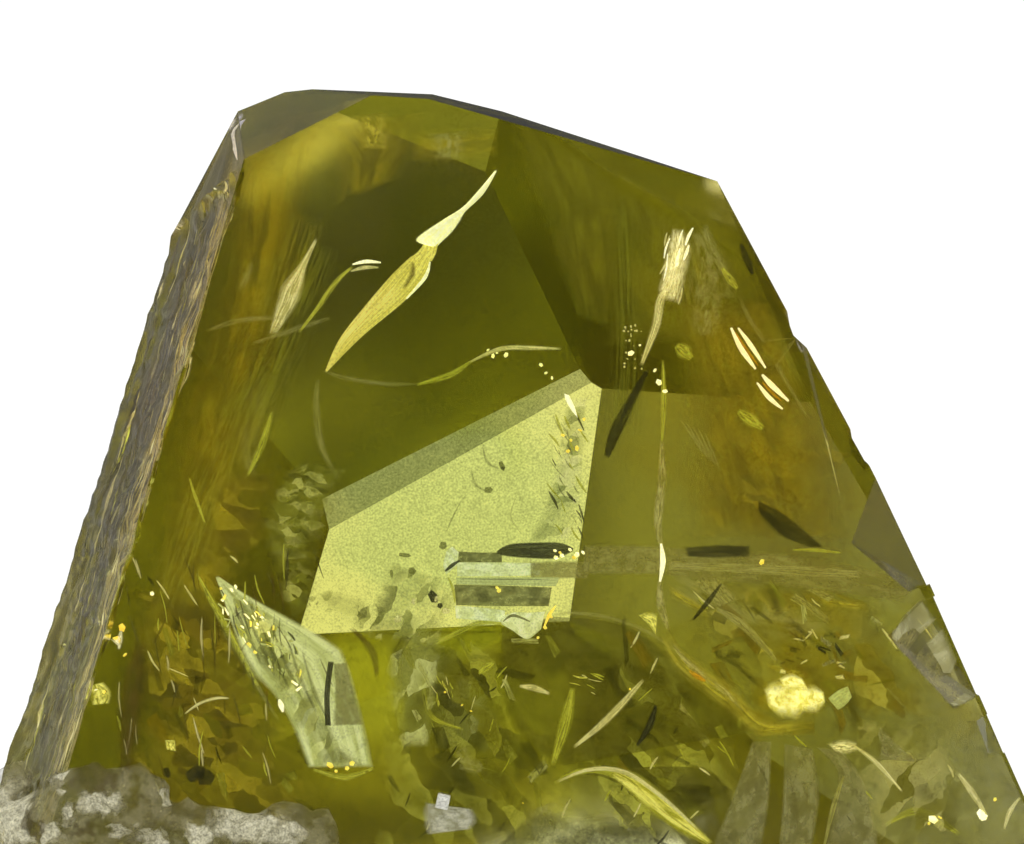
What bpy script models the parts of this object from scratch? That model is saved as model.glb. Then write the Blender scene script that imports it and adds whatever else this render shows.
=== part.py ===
"""Titanite crystal: a wedge-shaped gem crystal standing on its flat cut foot, with rock grains
grown on its front left corner.

Metres, +Z up. The broad front face looks along -Y and the widest side lies along X.
The origin is the middle of the rectangle that the whole specimen covers on the surface.
"""
import math
import random

import bmesh
import bpy
from mathutils import Matrix, Vector, noise

MM = 0.001
GAP = 0.3 * MM                     # clearance between the crystal and the grains on it

# Driving sizes of the crystal
HALF_WIDTH = 18.7 * MM             # from the middle line to the right end of the foot
HEIGHT = 26.55 * MM
FRONT_Y = -6.3 * MM                # the front face at half height
BACK_Y = 6.9 * MM                  # the small flat facet at the back, parallel to the front
FRONT_LEAN = 2.5                   # degrees that the front face leans back

# Corners of the outline seen from the front, as (x, z)
FOOT_LEFT = (-18.2 * MM, 0.0)
SHOULDER_LEFT = (-11.3 * MM, 21.9 * MM)
TOP_LEFT = (-9.1 * MM, 25.6 * MM)
RIDGE_LEFT = (-6.5 * MM, 26.55 * MM)
RIDGE_RIGHT = (-2.4 * MM, 26.5 * MM)
SHOULDER_RIGHT = (7.2 * MM, 23.35 * MM)
WAIST_RIGHT = (12.0 * MM, 14.4 * MM)
KNEE_RIGHT = (14.4 * MM, 9.7 * MM)
FOOT_RIGHT = (HALF_WIDTH, 0.0)

# Depths at which the front and the back facets meet at the outline
LEFT_EDGE_Y = -2.4 * MM
TOP_EDGE_Y = -4.4 * MM
RIDGE_END_Y = -2.6 * MM            # right end of the crest, which runs further back

# Edges of the front face where it stops short of the outline, as (x, z)
FRONT_LEFT_LOW = (-16.5 * MM, 0.0)
FRONT_LEFT_HIGH = (-8.9 * MM, 24.1 * MM)
FRONT_CORNER = (-4.8 * MM, 26.15 * MM)
FRONT_TOP = (-2.6 * MM, 26.15 * MM)

# Corners of the small flat facet at the back, as (x, z)
FLAT_BACK_LEFT = (-4.35 * MM, 12.6 * MM)
FLAT_BACK_TOP = (2.7 * MM, 16.4 * MM)
FLAT_BACK_SLOPE = (0.03, 0.04)
LEDGE_DROP_LEFT = 0.4 * MM         # how far the narrow ledge reaches below that upper edge
LEDGE_DROP_TOP = 0.25 * MM
LEDGE_SLOPE = 0.45

# Back facets beside the small flat one: where they start and how they come forward
RIGHT_BACK_AT = (1.9 * MM, 12.0 * MM)
RIGHT_BACK_SLOPE = (0.68, -0.05)
LEFT_LOW_BACK_AT = (-6.75 * MM, 8.3 * MM)
LEFT_LOW_BACK_SLOPE = (-0.85, 0.3)

# Back facet below the small flat one: where it starts and how it comes forward
LOW_BACK_AT = (0.0, 8.3 * MM)
LOW_BACK_SLOPE = (0.08, -0.95)

# Etched left face: ledges that run along it
LEDGE_ROWS = 11
LEDGE_COLUMNS = 46
LEDGE_DEPTH = 0.24 * MM

# Shell-shaped break low on the back, seen from the front as a dark mound
SCOOP_RADIUS = 19.0 * MM
SCOOP_DEPTH = 1.0 * MM
SCOOP_AT = (2.8 * MM, 3.7 * MM)

# Small facets and nicks on the right edge: corners as (x, z, depth behind the front), in mm
UPPER_EDGE_FACET = ((12.6, 13.3, 0), (11.75, 11.05, 0), (13.7, 9.4, 1.5), (14.3, 9.6, 1.9))
MIDDLE_EDGE_FACET = ((13.0, 7.9, 0), (15.25, 5.4, 0), (16.0, 5.9, 1.4), (14.1, 9.0, 1.7))
LOWER_EDGE_FACET = ((16.0, 5.0, 0), (16.4, 3.9, 0), (16.9, 3.9, 0.9), (16.3, 5.2, 0.7))
UPPER_NICK = ((9.95, 18.0, 0), (10.05, 17.5, 0), (9.5, 18.9, 0), (9.75, 18.2, 2.0))
LOWER_NICK = ((12.0, 14.2, 0), (12.2, 13.5, 0), (11.6, 14.9, 0), (11.75, 14.1, 2.2))

# Rock grains on the front left foot: the foot's line from right to left, and how high they reach
GRAIN_SEED = 12
GRAIN_SIZE = 0.62 * MM
GRAIN_COUNT = 66
CRUST_LENGTH = 13.6                # along the foot, in millimetres
CRUST_CORNER = 9.9                 # where the foot turns from the front to the left face
CRUST_HEIGHTS = ((0.0, 0.9), (0.8, 1.8), (3.2, 2.1), (4.2, 1.2), (5.4, 1.5), (6.2, 3.0), (7.5, 3.5),
                 (9.9, 3.4), (13.6, 2.6))


def front_depth(z):
    """Depth of the leaning front face at a height."""
    return FRONT_Y + math.tan(math.radians(FRONT_LEAN)) * (z - HEIGHT / 2)


def on_front(corner):
    return Vector((corner[0], front_depth(corner[1]), corner[1]))


def on_back(corner):
    rise_x, rise_z = FLAT_BACK_SLOPE
    return Vector((corner[0], BACK_Y - rise_x * corner[0] - rise_z * corner[1], corner[1]))


def at_depth(corner, y):
    return Vector((corner[0], y, corner[1]))


def facet(point, normal):
    return Vector(point), Vector(normal).normalized()


def facet_through(first, second, third):
    """The facet through three points, facing away from the crystal's middle."""
    normal = (second - first).cross(third - first).normalized()
    middle = Vector((0, 0, HEIGHT * 0.4))
    if normal.dot(first - middle) < 0:
        normal.negate()
    return first, normal


def back_facet(x, z, rise_x, rise_z):
    """A facet that leaves the back plane at (x, z) and comes forward by the given slopes."""
    return facet((x, BACK_Y, z), (rise_x, 1.0, rise_z))


def crystal_facets():
    """Every flat facet of the crystal, named by where it lies."""
    left_edge = at_depth(FOOT_LEFT, LEFT_EDGE_Y)
    shoulder = at_depth(SHOULDER_LEFT, LEFT_EDGE_Y)
    top_left = at_depth(TOP_LEFT, LEFT_EDGE_Y - 0.6 * MM)
    ridge_left = at_depth(RIDGE_LEFT, TOP_EDGE_Y)
    ridge_right = at_depth(RIDGE_RIGHT, RIDGE_END_Y)
    shoulder_right = on_front(SHOULDER_RIGHT)
    waist = on_front(WAIST_RIGHT)
    knee = on_front(KNEE_RIGHT)
    foot_right = on_front(FOOT_RIGHT)
    flat_left = on_back(FLAT_BACK_LEFT)
    flat_top = on_back(FLAT_BACK_TOP)
    ledge_left = flat_left - Vector((0, 0, LEDGE_DROP_LEFT))
    ledge_right = flat_top - Vector((0, 0, LEDGE_DROP_TOP))
    ledge_top = ledge_left + Vector((0, -LEDGE_SLOPE, 1)) * LEDGE_DROP_LEFT
    lean = math.radians(FRONT_LEAN)
    return {
        "foot": facet((0, 0, 0), (0, 0, -1)),
        "front": facet((0, FRONT_Y, HEIGHT / 2), (0, -math.cos(lean), math.sin(lean))),
        "back": back_facet(0, 0, *FLAT_BACK_SLOPE),
        "left": facet_through(left_edge, shoulder, on_front(FRONT_LEFT_HIGH)),
        "left_top": facet_through(shoulder, top_left, on_front(FRONT_LEFT_HIGH)),
        "corner": facet_through(on_front(FRONT_LEFT_HIGH), on_front(FRONT_CORNER), top_left),
        "ridge": facet_through(ridge_left, ridge_right, on_front(FRONT_TOP)),
        "roof": facet_through(ridge_right, shoulder_right, on_front(FRONT_TOP)),
        "right_top": facet_through(shoulder_right, waist, waist + Vector((-0.12, 1, 0))),
        "right": facet_through(waist, knee, knee + Vector((-0.06, 1, 0))),
        "right_low": facet_through(knee, foot_right, foot_right + Vector((-0.05, 1, 0))),
        "left_back": facet_through(left_edge, shoulder, left_edge + Vector((0.42, 1, 0))),
        "top_left_back": facet_through(shoulder, top_left, shoulder + Vector((0.5, 1, -0.4))),
        "crest_back": facet_through(top_left, ridge_left, ridge_left + Vector((0.1, 1, -0.7))),
        "upper_back": facet_through(flat_left, flat_top, ridge_left),
        "ledge_back": facet_through(ledge_left, ledge_right, ledge_top),
        "roof_back": facet_through(flat_top, ridge_right, shoulder_right),
        "right_back": back_facet(*RIGHT_BACK_AT, *RIGHT_BACK_SLOPE),
        "left_low_back": back_facet(*LEFT_LOW_BACK_AT, *LEFT_LOW_BACK_SLOPE),
        "low_back": back_facet(*LOW_BACK_AT, *LOW_BACK_SLOPE),
    }


def cut_by(bm, point, normal):
    """Cuts away what lies beyond a facet and closes the solid with that facet."""
    everything = bm.verts[:] + bm.edges[:] + bm.faces[:]
    result = bmesh.ops.bisect_plane(bm, geom=everything, dist=1e-8, plane_co=point, plane_no=normal,
                                    clear_outer=True)
    rim = [item for item in result["geom_cut"] if isinstance(item, bmesh.types.BMEdge)]
    bmesh.ops.holes_fill(bm, edges=rim, sides=0)


def block_of_facets(facets, grow=0.0):
    """A block cut down to the crystal's facets, each moved outward by the same amount."""
    bm = bmesh.new()
    bmesh.ops.create_cube(bm, size=HEIGHT * 3)
    for point, normal in facets:
        cut_by(bm, point + normal * grow, normal)
    bmesh.ops.remove_doubles(bm, verts=bm.verts[:], dist=0.01 * MM)
    return bm


def etch_ledges(bm, point, normal):
    """Raises uneven ledges along the left face, in rows that follow its long edge."""
    along = Vector((SHOULDER_LEFT[0] - FOOT_LEFT[0], 0, SHOULDER_LEFT[1])).normalized()
    across = along.cross(normal).normalized()

    def on_face(face):
        return face.normal.angle(normal) < 0.01

    spans = [vert.co for face in bm.faces if on_face(face) for vert in face.verts]
    for direction, count in ((across, LEDGE_ROWS), (along, LEDGE_COLUMNS)):
        low = min(direction.dot(place) for place in spans)
        high = max(direction.dot(place) for place in spans)
        for index in range(1, count):
            offset = low + (high - low) * (index + 0.3 * math.sin(index * 2.4)) / count
            chosen = [face for face in bm.faces if on_face(face)]
            around = {edge for face in chosen for edge in face.edges}
            corners = {vert for face in chosen for vert in face.verts}
            bmesh.ops.bisect_plane(bm, geom=chosen + list(around) + list(corners), dist=1e-8,
                                   plane_co=direction * offset, plane_no=direction)
    inner = [vert for vert in bm.verts if vert.link_faces and all(map(on_face, vert.link_faces))]
    for vert in inner:
        row = across.dot(vert.co) / MM
        run = along.dot(vert.co) / MM
        step = noise.noise(Vector((row * 2.3, run * 0.45, 3.1)))
        pit = noise.noise(Vector((row * 1.1, run * 1.9, 8.7)))
        vert.co -= normal * LEDGE_DEPTH * (0.62 + 0.55 * step + 0.3 * pit)


def edge_cutter(name, corners):
    """A wedge that cuts one small facet into the right edge, given the facet's corners."""
    bm = bmesh.new()
    outward = 3 * MM
    for x, z, behind in corners:
        place = Vector((x * MM, front_depth(z * MM) + behind * MM, z * MM))
        for shift in ((0, 0, 0), (0, -outward, 0), (outward, -outward, outward / 2)):
            bm.verts.new(place + Vector(shift))
    hull = bmesh.ops.convex_hull(bm, input=bm.verts[:])
    spare = set(hull["geom_interior"]) | set(hull["geom_unused"])
    bmesh.ops.delete(bm, geom=[item for item in spare if isinstance(item, bmesh.types.BMVert)],
                     context="VERTS")
    return new_object(name, bm, new_material(name, (0.5, 0.5, 0.5), 0.5))


def new_object(name, bm, material):
    mesh = bpy.data.meshes.new(name)
    bmesh.ops.recalc_face_normals(bm, faces=bm.faces[:])
    bm.to_mesh(mesh)
    bm.free()
    mesh.materials.append(material)
    part = bpy.data.objects.new(name, mesh)
    bpy.context.scene.collection.objects.link(part)
    return part


def new_material(name, colour, roughness, transmission=0.0):
    material = bpy.data.materials.new(name)
    material.use_nodes = True
    shader = material.node_tree.nodes["Principled BSDF"]
    shader.inputs["Base Color"].default_value = (*colour, 1.0)
    shader.inputs["Roughness"].default_value = roughness
    shader.inputs["Metallic"].default_value = 0.0
    shader.inputs["Transmission Weight"].default_value = transmission
    return material


def boolean(part, operation, other):
    """Joins or cuts with another object for good, and drops that object."""
    modifier = part.modifiers.new(operation.lower(), "BOOLEAN")
    modifier.operation = operation
    modifier.object = other
    depsgraph = bpy.context.evaluated_depsgraph_get()
    mesh = bpy.data.meshes.new_from_object(part.evaluated_get(depsgraph))
    part.modifiers.clear()
    part.data = mesh
    bpy.data.objects.remove(other)


def scoop_cutter():
    """A ball whose edge sinks into the low back facet and leaves a shell-shaped break."""
    bm = bmesh.new()
    bmesh.ops.create_icosphere(bm, subdivisions=5, radius=SCOOP_RADIUS)
    x, z = SCOOP_AT
    start, outward = back_facet(*LOW_BACK_AT, *LOW_BACK_SLOPE)
    surface_y = start.y - (outward.x * (x - start.x) + outward.z * (z - start.z)) / outward.y
    centre = Vector((x, surface_y, z)) + outward * (SCOOP_RADIUS - SCOOP_DEPTH)
    bmesh.ops.translate(bm, verts=bm.verts[:], vec=centre)
    return new_object("scoop", bm, new_material("scoop", (0.5, 0.5, 0.5), 0.5))


def build_crystal():
    facets = crystal_facets()
    bm = block_of_facets(facets.values())
    bm.normal_update()
    etch_ledges(bm, *facets["left"])
    bmesh.ops.triangulate(bm, faces=bm.faces[:])
    crystal = new_object("titanite_crystal", bm,
                         new_material("titanite", (0.42, 0.44, 0.03), 0.05, transmission=0.9))
    boolean(crystal, "DIFFERENCE", scoop_cutter())
    for corners in (UPPER_EDGE_FACET, MIDDLE_EDGE_FACET, LOWER_EDGE_FACET, UPPER_NICK, LOWER_NICK):
        boolean(crystal, "DIFFERENCE", edge_cutter("edge_cutter", corners))
    return crystal, facets


def crust_height(along):
    """How high the grains reach at a distance along the foot, in millimetres."""
    for (start, low), (end, high) in zip(CRUST_HEIGHTS, CRUST_HEIGHTS[1:]):
        if along <= end:
            return low + (high - low) * (along - start) / (end - start)
    return CRUST_HEIGHTS[-1][1]


def grain_place(along, z, proud):
    """Centre of a grain that sits on the foot's front, or round the corner on the left face."""
    corner = Vector((FRONT_LEFT_LOW[0] + 0.27 * z, front_depth(z), z))
    if along < CRUST_CORNER * MM:
        return corner + Vector((CRUST_CORNER * MM - along, -proud, 0))
    backwards = Vector((FOOT_LEFT[0] - FRONT_LEFT_LOW[0], LEFT_EDGE_Y - FRONT_Y, 0)).normalized()
    outwards = Vector((-backwards.y, backwards.x, 0))
    return corner + backwards * (along - CRUST_CORNER * MM) + outwards * proud


def build_crust(facets):
    """Blocky rock grains fused in one body, which stops short of the crystal's faces."""
    dice = random.Random(GRAIN_SEED)
    bm = bmesh.new()
    for index in range(GRAIN_COUNT):
        along = CRUST_LENGTH * ((index * 0.618034) % 1.0)
        z = crust_height(along) * ((index * 0.754878) % 1.0) ** 0.8
        size = GRAIN_SIZE * dice.uniform(0.8, 1.4)
        centre = grain_place(along * MM, max(z * MM, size * 0.5), dice.uniform(0.1, 0.75) * MM)
        axis = Vector((dice.random(), dice.random(), dice.random() + 0.1))
        turn = Matrix.Rotation(dice.uniform(0, math.pi), 4, axis)
        stretch = Matrix.Diagonal((1.0, dice.uniform(0.7, 1.1), dice.uniform(0.8, 1.3), 1.0))
        bmesh.ops.create_cube(bm, size=size * 1.7, matrix=Matrix.Translation(centre) @ turn @ stretch)
    cut_low = [vert for vert in bm.verts if vert.co.z < 0]
    for vert in cut_low:
        vert.co.z = 0
    crust = new_object("matrix_crust", bm, new_material("feldspar", (0.62, 0.58, 0.42), 0.7))
    fuse = crust.modifiers.new("fuse", "REMESH")
    fuse.mode = "VOXEL"
    fuse.voxel_size = 0.2 * MM
    thin = crust.modifiers.new("thin", "DECIMATE")
    thin.ratio = 0.3
    around = block_of_facets(list(facets.values())[1:], GAP)
    keep_out = new_object("keep_out", around, crust.data.materials[0])
    boolean(crust, "DIFFERENCE", keep_out)
    return crust


def stand_on_centre(parts):
    """Moves the whole specimen so that the middle of its foot is the origin."""
    corners = [vert.co for part in parts for vert in part.data.vertices]
    low = Vector([min(place[axis] for place in corners) for axis in range(3)])
    high = Vector([max(place[axis] for place in corners) for axis in range(3)])
    shift = Vector((-(low.x + high.x) / 2, -(low.y + high.y) / 2, -low.z))
    for part in parts:
        part.data.transform(Matrix.Translation(shift))


def main():
    for item in list(bpy.data.objects):
        bpy.data.objects.remove(item)
    crystal, facets = build_crystal()
    crust = build_crust(facets)
    stand_on_centre((crystal, crust))


main()
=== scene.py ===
import math
import random

import bmesh
import bpy
from mathutils import Matrix, Vector, noise
from mathutils.bvhtree import BVHTree


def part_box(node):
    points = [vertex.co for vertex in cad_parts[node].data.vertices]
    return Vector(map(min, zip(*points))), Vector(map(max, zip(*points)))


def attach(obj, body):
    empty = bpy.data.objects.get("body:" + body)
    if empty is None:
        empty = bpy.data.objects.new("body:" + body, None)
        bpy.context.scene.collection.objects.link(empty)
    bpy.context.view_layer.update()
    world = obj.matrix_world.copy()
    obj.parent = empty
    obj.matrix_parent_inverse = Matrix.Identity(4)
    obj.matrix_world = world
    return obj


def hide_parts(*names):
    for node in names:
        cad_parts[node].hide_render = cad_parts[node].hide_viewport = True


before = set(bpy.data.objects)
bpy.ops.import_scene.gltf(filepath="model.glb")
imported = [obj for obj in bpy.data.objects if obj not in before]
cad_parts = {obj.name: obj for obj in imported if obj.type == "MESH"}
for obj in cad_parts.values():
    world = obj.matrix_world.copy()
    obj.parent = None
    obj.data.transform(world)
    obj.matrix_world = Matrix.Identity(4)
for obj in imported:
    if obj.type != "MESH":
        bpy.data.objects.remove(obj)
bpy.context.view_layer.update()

mm = 0.001
crystalLow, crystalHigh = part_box("titanite_crystal")

# Places on the front face are given as photo columns and rows; one pixel there is this wide
photo = {
    "pixel": 0.034 * mm,
    "middle": 512.9,     # the column above the middle of the crystal's foot
    "foot": 868,         # the row of the cut foot, a little below the picture
    "wide": 1024,
    "high": 844,
}
footMiddle = (crystalLow.x + crystalHigh.x) / 2


# Front face of the crystal, found on its own mesh
def findFrontFace():
    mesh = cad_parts["titanite_crystal"].data
    forward = [face for face in mesh.polygons if face.normal.y < -0.99]
    largest = max(forward, key=lambda face: face.area)
    return largest.center.copy(), largest.normal.copy()


frontPoint, frontNormal = findFrontFace()


def spot(column, row, depth=0.0):
    # a place straight behind a photo pixel, depth in millimetres below the front face
    x = footMiddle + (column - photo["middle"]) * photo["pixel"]
    z = (photo["foot"] - row) * photo["pixel"]
    rise = frontNormal.x * (x - frontPoint.x) + frontNormal.z * (z - frontPoint.z)
    return Vector((x, frontPoint.y - rise / frontNormal.y + depth * mm, z))


# Small tools for node trees
def newMaterial(name):
    material = bpy.data.materials.new(name)
    material.use_nodes = True
    return material, material.node_tree, material.node_tree.nodes["Principled BSDF"]


def newGroup(name, inputs, outputs):
    # a shader group with its two ends; the inputs name the kind of each socket
    group = bpy.data.node_groups.new(name, "ShaderNodeTree")
    for socket, kind in inputs.items():
        group.interface.new_socket(socket, in_out="INPUT", socket_type="NodeSocket" + kind)
    for socket in outputs:
        group.interface.new_socket(socket, in_out="OUTPUT", socket_type="NodeSocketFloat")
    return group, group.nodes.new("NodeGroupInput").outputs, group.nodes.new("NodeGroupOutput").inputs


def addNode(tree, kind, inputs=None, **settings):
    made = tree.nodes.new("ShaderNode" + kind)
    for key, value in settings.items():
        setattr(made, key, value)
    for key, value in (inputs or {}).items():
        if isinstance(value, bpy.types.NodeSocket):
            tree.links.new(value, made.inputs[key])
        else:
            made.inputs[key].default_value = value
    return made


def addMath(tree, operation, first, second=0.0, third=0.0):
    return addNode(tree, "Math", {0: first, 1: second, 2: third}, operation=operation).outputs[0]


def addVector(tree, operation, first, second):
    return addNode(tree, "VectorMath", {0: first, 1: second}, operation=operation).outputs[0]


def addDot(tree, first, second):
    return addNode(tree, "VectorMath", {0: first, 1: second}, operation="DOT_PRODUCT").outputs["Value"]


def addRange(tree, value, low, high, newLow=0.0, newHigh=1.0, smooth=True):
    mapped = addNode(tree, "MapRange", {"Value": value, "From Min": low, "From Max": high,
                                        "To Min": newLow, "To Max": newHigh})
    mapped.interpolation_type = "SMOOTHSTEP" if smooth else "LINEAR"
    return mapped.outputs[0]


def addMix(tree, factor, first, second, blend="MIX"):
    mixed = tree.nodes.new("ShaderNodeMix")
    mixed.data_type = "RGBA"
    mixed.blend_type = blend
    for socket, value in ((mixed.inputs[0], factor), (mixed.inputs[6], first), (mixed.inputs[7], second)):
        if isinstance(value, bpy.types.NodeSocket):
            tree.links.new(value, socket)
        elif isinstance(value, tuple):
            socket.default_value = (*value, 1.0)
        else:
            socket.default_value = value
    return mixed.outputs[2]


def addNoise(tree, vector, scale, detail=3.0, rough=0.55, distort=0.0):
    made = addNode(tree, "TexNoise", {"Vector": vector, "Scale": scale, "Detail": detail,
                                      "Roughness": rough, "Distortion": distort})
    return made.outputs["Fac"]


def millimetres(tree):
    # object coordinates in millimetres
    place = addNode(tree, "TexCoord").outputs["Object"]
    return addNode(tree, "Mapping", {"Vector": place, "Scale": (1 / mm,) * 3}).outputs[0]


def wander(tree, place, scale, detail, reach, middle=0.5):
    # the place moved about by a soft noise
    cloud = addNode(tree, "TexNoise", {"Vector": place, "Scale": scale, "Detail": detail})
    offset = addVector(tree, "SUBTRACT", cloud.outputs["Color"], (middle,) * 3)
    return addVector(tree, "ADD", place, addVector(tree, "MULTIPLY", offset, (reach,) * 3))


# Small tools for meshes
def placeMesh(bm, name):
    mesh = bpy.data.meshes.new(name)
    bm.to_mesh(mesh)
    bm.free()
    made = bpy.data.objects.new(name, mesh)
    bpy.context.scene.collection.objects.link(made)
    return made


def nodeMesh(name):
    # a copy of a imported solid's mesh with its double points joined
    bm = bmesh.new()
    bm.from_mesh(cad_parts[name].data)
    bmesh.ops.remove_doubles(bm, verts=bm.verts[:], dist=0.002 * mm)
    return bm


def shadeFlatFacets(piece, angle, material):
    # edges sharper than the angle stay crisp
    piece.data.shade_smooth()
    piece.data.set_sharp_from_angle(angle=math.radians(angle))
    piece.data.materials.clear()
    piece.data.materials.append(material)


# Shared effects
def makeZoneGroup():
    # a soft oval patch that runs right through the crystal: 1 in its middle, 0 outside
    group, given, result = newGroup("colourZone", {"Place": "Vector", "Middle": "Vector",
                                                   "Shrink": "Vector", "Inner": "Float"}, ["Mask"])
    offset = addVector(group, "SUBTRACT", given["Place"], given["Middle"])
    scaled = addVector(group, "MULTIPLY", offset, given["Shrink"])
    length = addNode(group, "VectorMath", {0: scaled}, operation="LENGTH").outputs["Value"]
    mask = addRange(group, length, given["Inner"], 1.0, 1.0, 0.0)
    group.links.new(mask, result["Mask"])
    return group


def makeGrainGroup():
    # fine speckle around 1, to multiply a colour with
    group, given, result = newGroup("fineGrain", {"Place": "Vector", "Speckle": "Float"}, ["Shade"])
    speck = addMath(group, "SUBTRACT", addNoise(group, given["Place"], 14.0, 0.0), 0.5)
    shade = addMath(group, "MULTIPLY_ADD", speck, given["Speckle"], 1.0)
    group.links.new(shade, result["Shade"])
    return group


zoneGroup = makeZoneGroup()
grainGroup = makeGrainGroup()


def addZone(tree, places, column, row, wide, high, turn, softness):
    # the place is turned once for all zones that lean the same way
    if turn not in places:
        places[turn] = addNode(tree, "VectorRotate", {"Vector": places[0], "Angle": math.radians(turn)},
                               rotation_type="Y_AXIS").outputs[0]
    middle = Matrix.Rotation(math.radians(turn), 3, "Y") @ (spot(column, row) / mm)
    shrink = (mm / (wide * photo["pixel"]), 0.0, mm / (high * photo["pixel"]))
    made = addNode(tree, "Group", {"Place": places[turn], "Middle": middle, "Shrink": shrink,
                                   "Inner": 1.0 - softness}, node_tree=zoneGroup)
    return made.outputs["Mask"]


def addGrain(tree, place, speckle):
    made = addNode(tree, "Group", {"Place": place, "Speckle": speckle}, node_tree=grainGroup)
    return made.outputs["Shade"]


# The crystal's own glass
glass = {
    "ior": 1.9,
    "tint": (0.775, 0.768, 0.0),     # what the clear body lets through, per unit of its density
    "density": 141.0,
    "frontGloss": 0.3,               # how much of the front's mirror shine is kept
    # column, row, wide, high, turn, softness, strength, colour
    "zones": (
        (205, 330, 110, 340, -17, 0.75, 0.9, (1.0, 0.80, 0.45)),
        (480, 290, 150, 170, 0, 0.45, 0.8, (0.66, 0.74, 0.4)),
        (760, 400, 170, 280, 28, 0.7, 0.85, (1.0, 0.80, 0.4)),
        (800, 250, 90, 120, 28, 0.7, 0.7, (0.6, 0.55, 0.4)),
        (450, 510, 190, 150, -17, 0.5, 0.9, (0.70, 0.78, 0.80)),
        (560, 720, 190, 100, 0, 0.5, 0.7, (0.85, 0.80, 0.45)),
        (810, 690, 190, 150, 0, 0.6, 0.8, (1.0, 0.93, 0.35)),
        # painted shade: this zone darkens the middle of the foot, where the scoop behind would show bright
        (625, 850, 150, 45, 0, 0.4, 0.85, (0.2, 0.2, 0.12)),
    ),
    "waves": (0.55, 5.0),            # how fine and how far the zones' rims wander
    "mottle": (11.0, 7.0, 0.25, 1.1),    # blotches: from and to a height in mm, their strength at each
    "speckle": 1.1,
}


def makeGlass():
    material, tree, shader = newMaterial("titaniteGlass")
    place = millimetres(tree)
    waves, reach = glass["waves"]
    wavy = wander(tree, place, scale=waves, detail=0.0, reach=reach)
    colour = addNode(tree, "RGB").outputs[0]
    colour.default_value = (1.0, 1.0, 1.0, 1.0)
    places = {0: wavy}
    for column, row, wide, high, turn, softness, strength, tone in glass["zones"]:
        mask = addZone(tree, places, column, row, wide, high, turn, softness)
        colour = addMix(tree, addMath(tree, "MULTIPLY", mask, strength), colour, tone, "MULTIPLY")
    height = addNode(tree, "SeparateXYZ", {0: place}).outputs["Z"]
    broken = addRange(tree, height, *glass["mottle"])
    blotch = addMath(tree, "SUBTRACT", addNoise(tree, wavy, 1.3, 0.0, 0.6), 0.5)
    blotch = addMath(tree, "MULTIPLY_ADD", blotch, broken, 1.0)
    # painted shade and reflection of each facet, read from the mesh
    facet = addNode(tree, "Attribute", attribute_name="facetPaintedShade").outputs["Color"]
    for factor in (blotch, addGrain(tree, place, glass["speckle"]), facet):
        colour = addMix(tree, 1.0, colour, factor, "MULTIPLY")
    tree.links.new(colour, shader.inputs["Base Color"])
    rough = addNode(tree, "Attribute", attribute_name="facetRough").outputs["Fac"]
    tree.links.new(rough, shader.inputs["Roughness"])
    shader.inputs["Transmission Weight"].default_value = 1.0
    shader.inputs["IOR"].default_value = glass["ior"]
    shine = glass["frontGloss"]
    shader.inputs["Specular Tint"].default_value = (shine, shine, shine, 1.0)
    inside = addNode(tree, "VolumeAbsorption", {"Color": (*glass["tint"], 1.0), "Density": glass["density"]})
    tree.links.new(inside.outputs[0], tree.nodes["Material Output"].inputs["Volume"])
    return material


# Ragged cover of the thin sheets inside, drawn on their own UV map: 1 inside, 0 past the torn rim
def makeTornGroup():
    inputs = dict.fromkeys(("Along", "Across", "Edge", "Contrast"), "Float")
    group, given, result = newGroup("tornSheet", inputs, ["Cover", "Grain"])
    sheetPlace = addNode(group, "TexCoord").outputs["UV"]
    pull = addNode(group, "CombineXYZ", {0: given["Across"], 1: given["Along"], 2: 1.0}).outputs[0]
    spread = addDot(group, millimetres(group), (0.5, 0.0, 0.4))
    layer = addNode(group, "CombineXYZ", {2: spread}).outputs[0]
    drawn = addVector(group, "ADD", addVector(group, "MULTIPLY", sheetPlace, pull), layer)
    grain = addNoise(group, drawn, 1.0, 2.0, 0.6, 0.3)
    parts = addNode(group, "SeparateXYZ", {0: sheetPlace}).outputs
    across, along = (addMath(group, "ABSOLUTE", addMath(group, "MULTIPLY_ADD", parts[axis], 2.0, -1.0))
                     for axis in ("X", "Y"))
    rim = addMath(group, "MAXIMUM", across, addMath(group, "POWER", along, 3.0))
    ragged = addMath(group, "MULTIPLY_ADD", grain, given["Edge"], rim)
    low = addMath(group, "MULTIPLY_ADD", given["Edge"], -0.45, 1.0)
    high = addMath(group, "MULTIPLY_ADD", given["Edge"], 0.5, 1.02)
    inside = addRange(group, ragged, low, high, 1.0, 0.0)
    thin = addMath(group, "SUBTRACT", 1.0, given["Contrast"])
    body = addRange(group, grain, 0.3, 0.7, thin, 1.0)
    group.links.new(addMath(group, "MULTIPLY", inside, body), result["Cover"])
    group.links.new(addRange(group, grain, 0.35, 0.65), result["Grain"])
    return group


tornGroup = makeTornGroup()


# Patches of broken glass: stretched cells, each with a random value of its own
def makeCellGroup():
    inputs = {"Place": "Vector", "Cells": "Float", "Turn": "Float"}
    group, given, result = newGroup("brokenCells", inputs, ["Value", "Thin"])
    turned = addNode(group, "VectorRotate", {"Vector": given["Place"], "Angle": given["Turn"]},
                     rotation_type="Y_AXIS").outputs[0]
    drawn = addVector(group, "MULTIPLY", turned, (1.0, 0.6, 0.42))
    cells = addNode(group, "TexVoronoi", {"Vector": drawn, "Scale": given["Cells"]}).outputs
    parts = addNode(group, "SeparateColor", {0: cells["Color"]}).outputs
    shade = addMath(group, "MULTIPLY_ADD", cells["Distance"], 0.35, parts[0])
    group.links.new(shade, result["Value"])
    group.links.new(parts[1], result["Thin"])
    return group


cellGroup = makeCellGroup()

# The torn rim that all broken patches have
brokenSheet = {"Along": 5, "Across": 5, "Edge": 0.9, "Contrast": 0.3}
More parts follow.
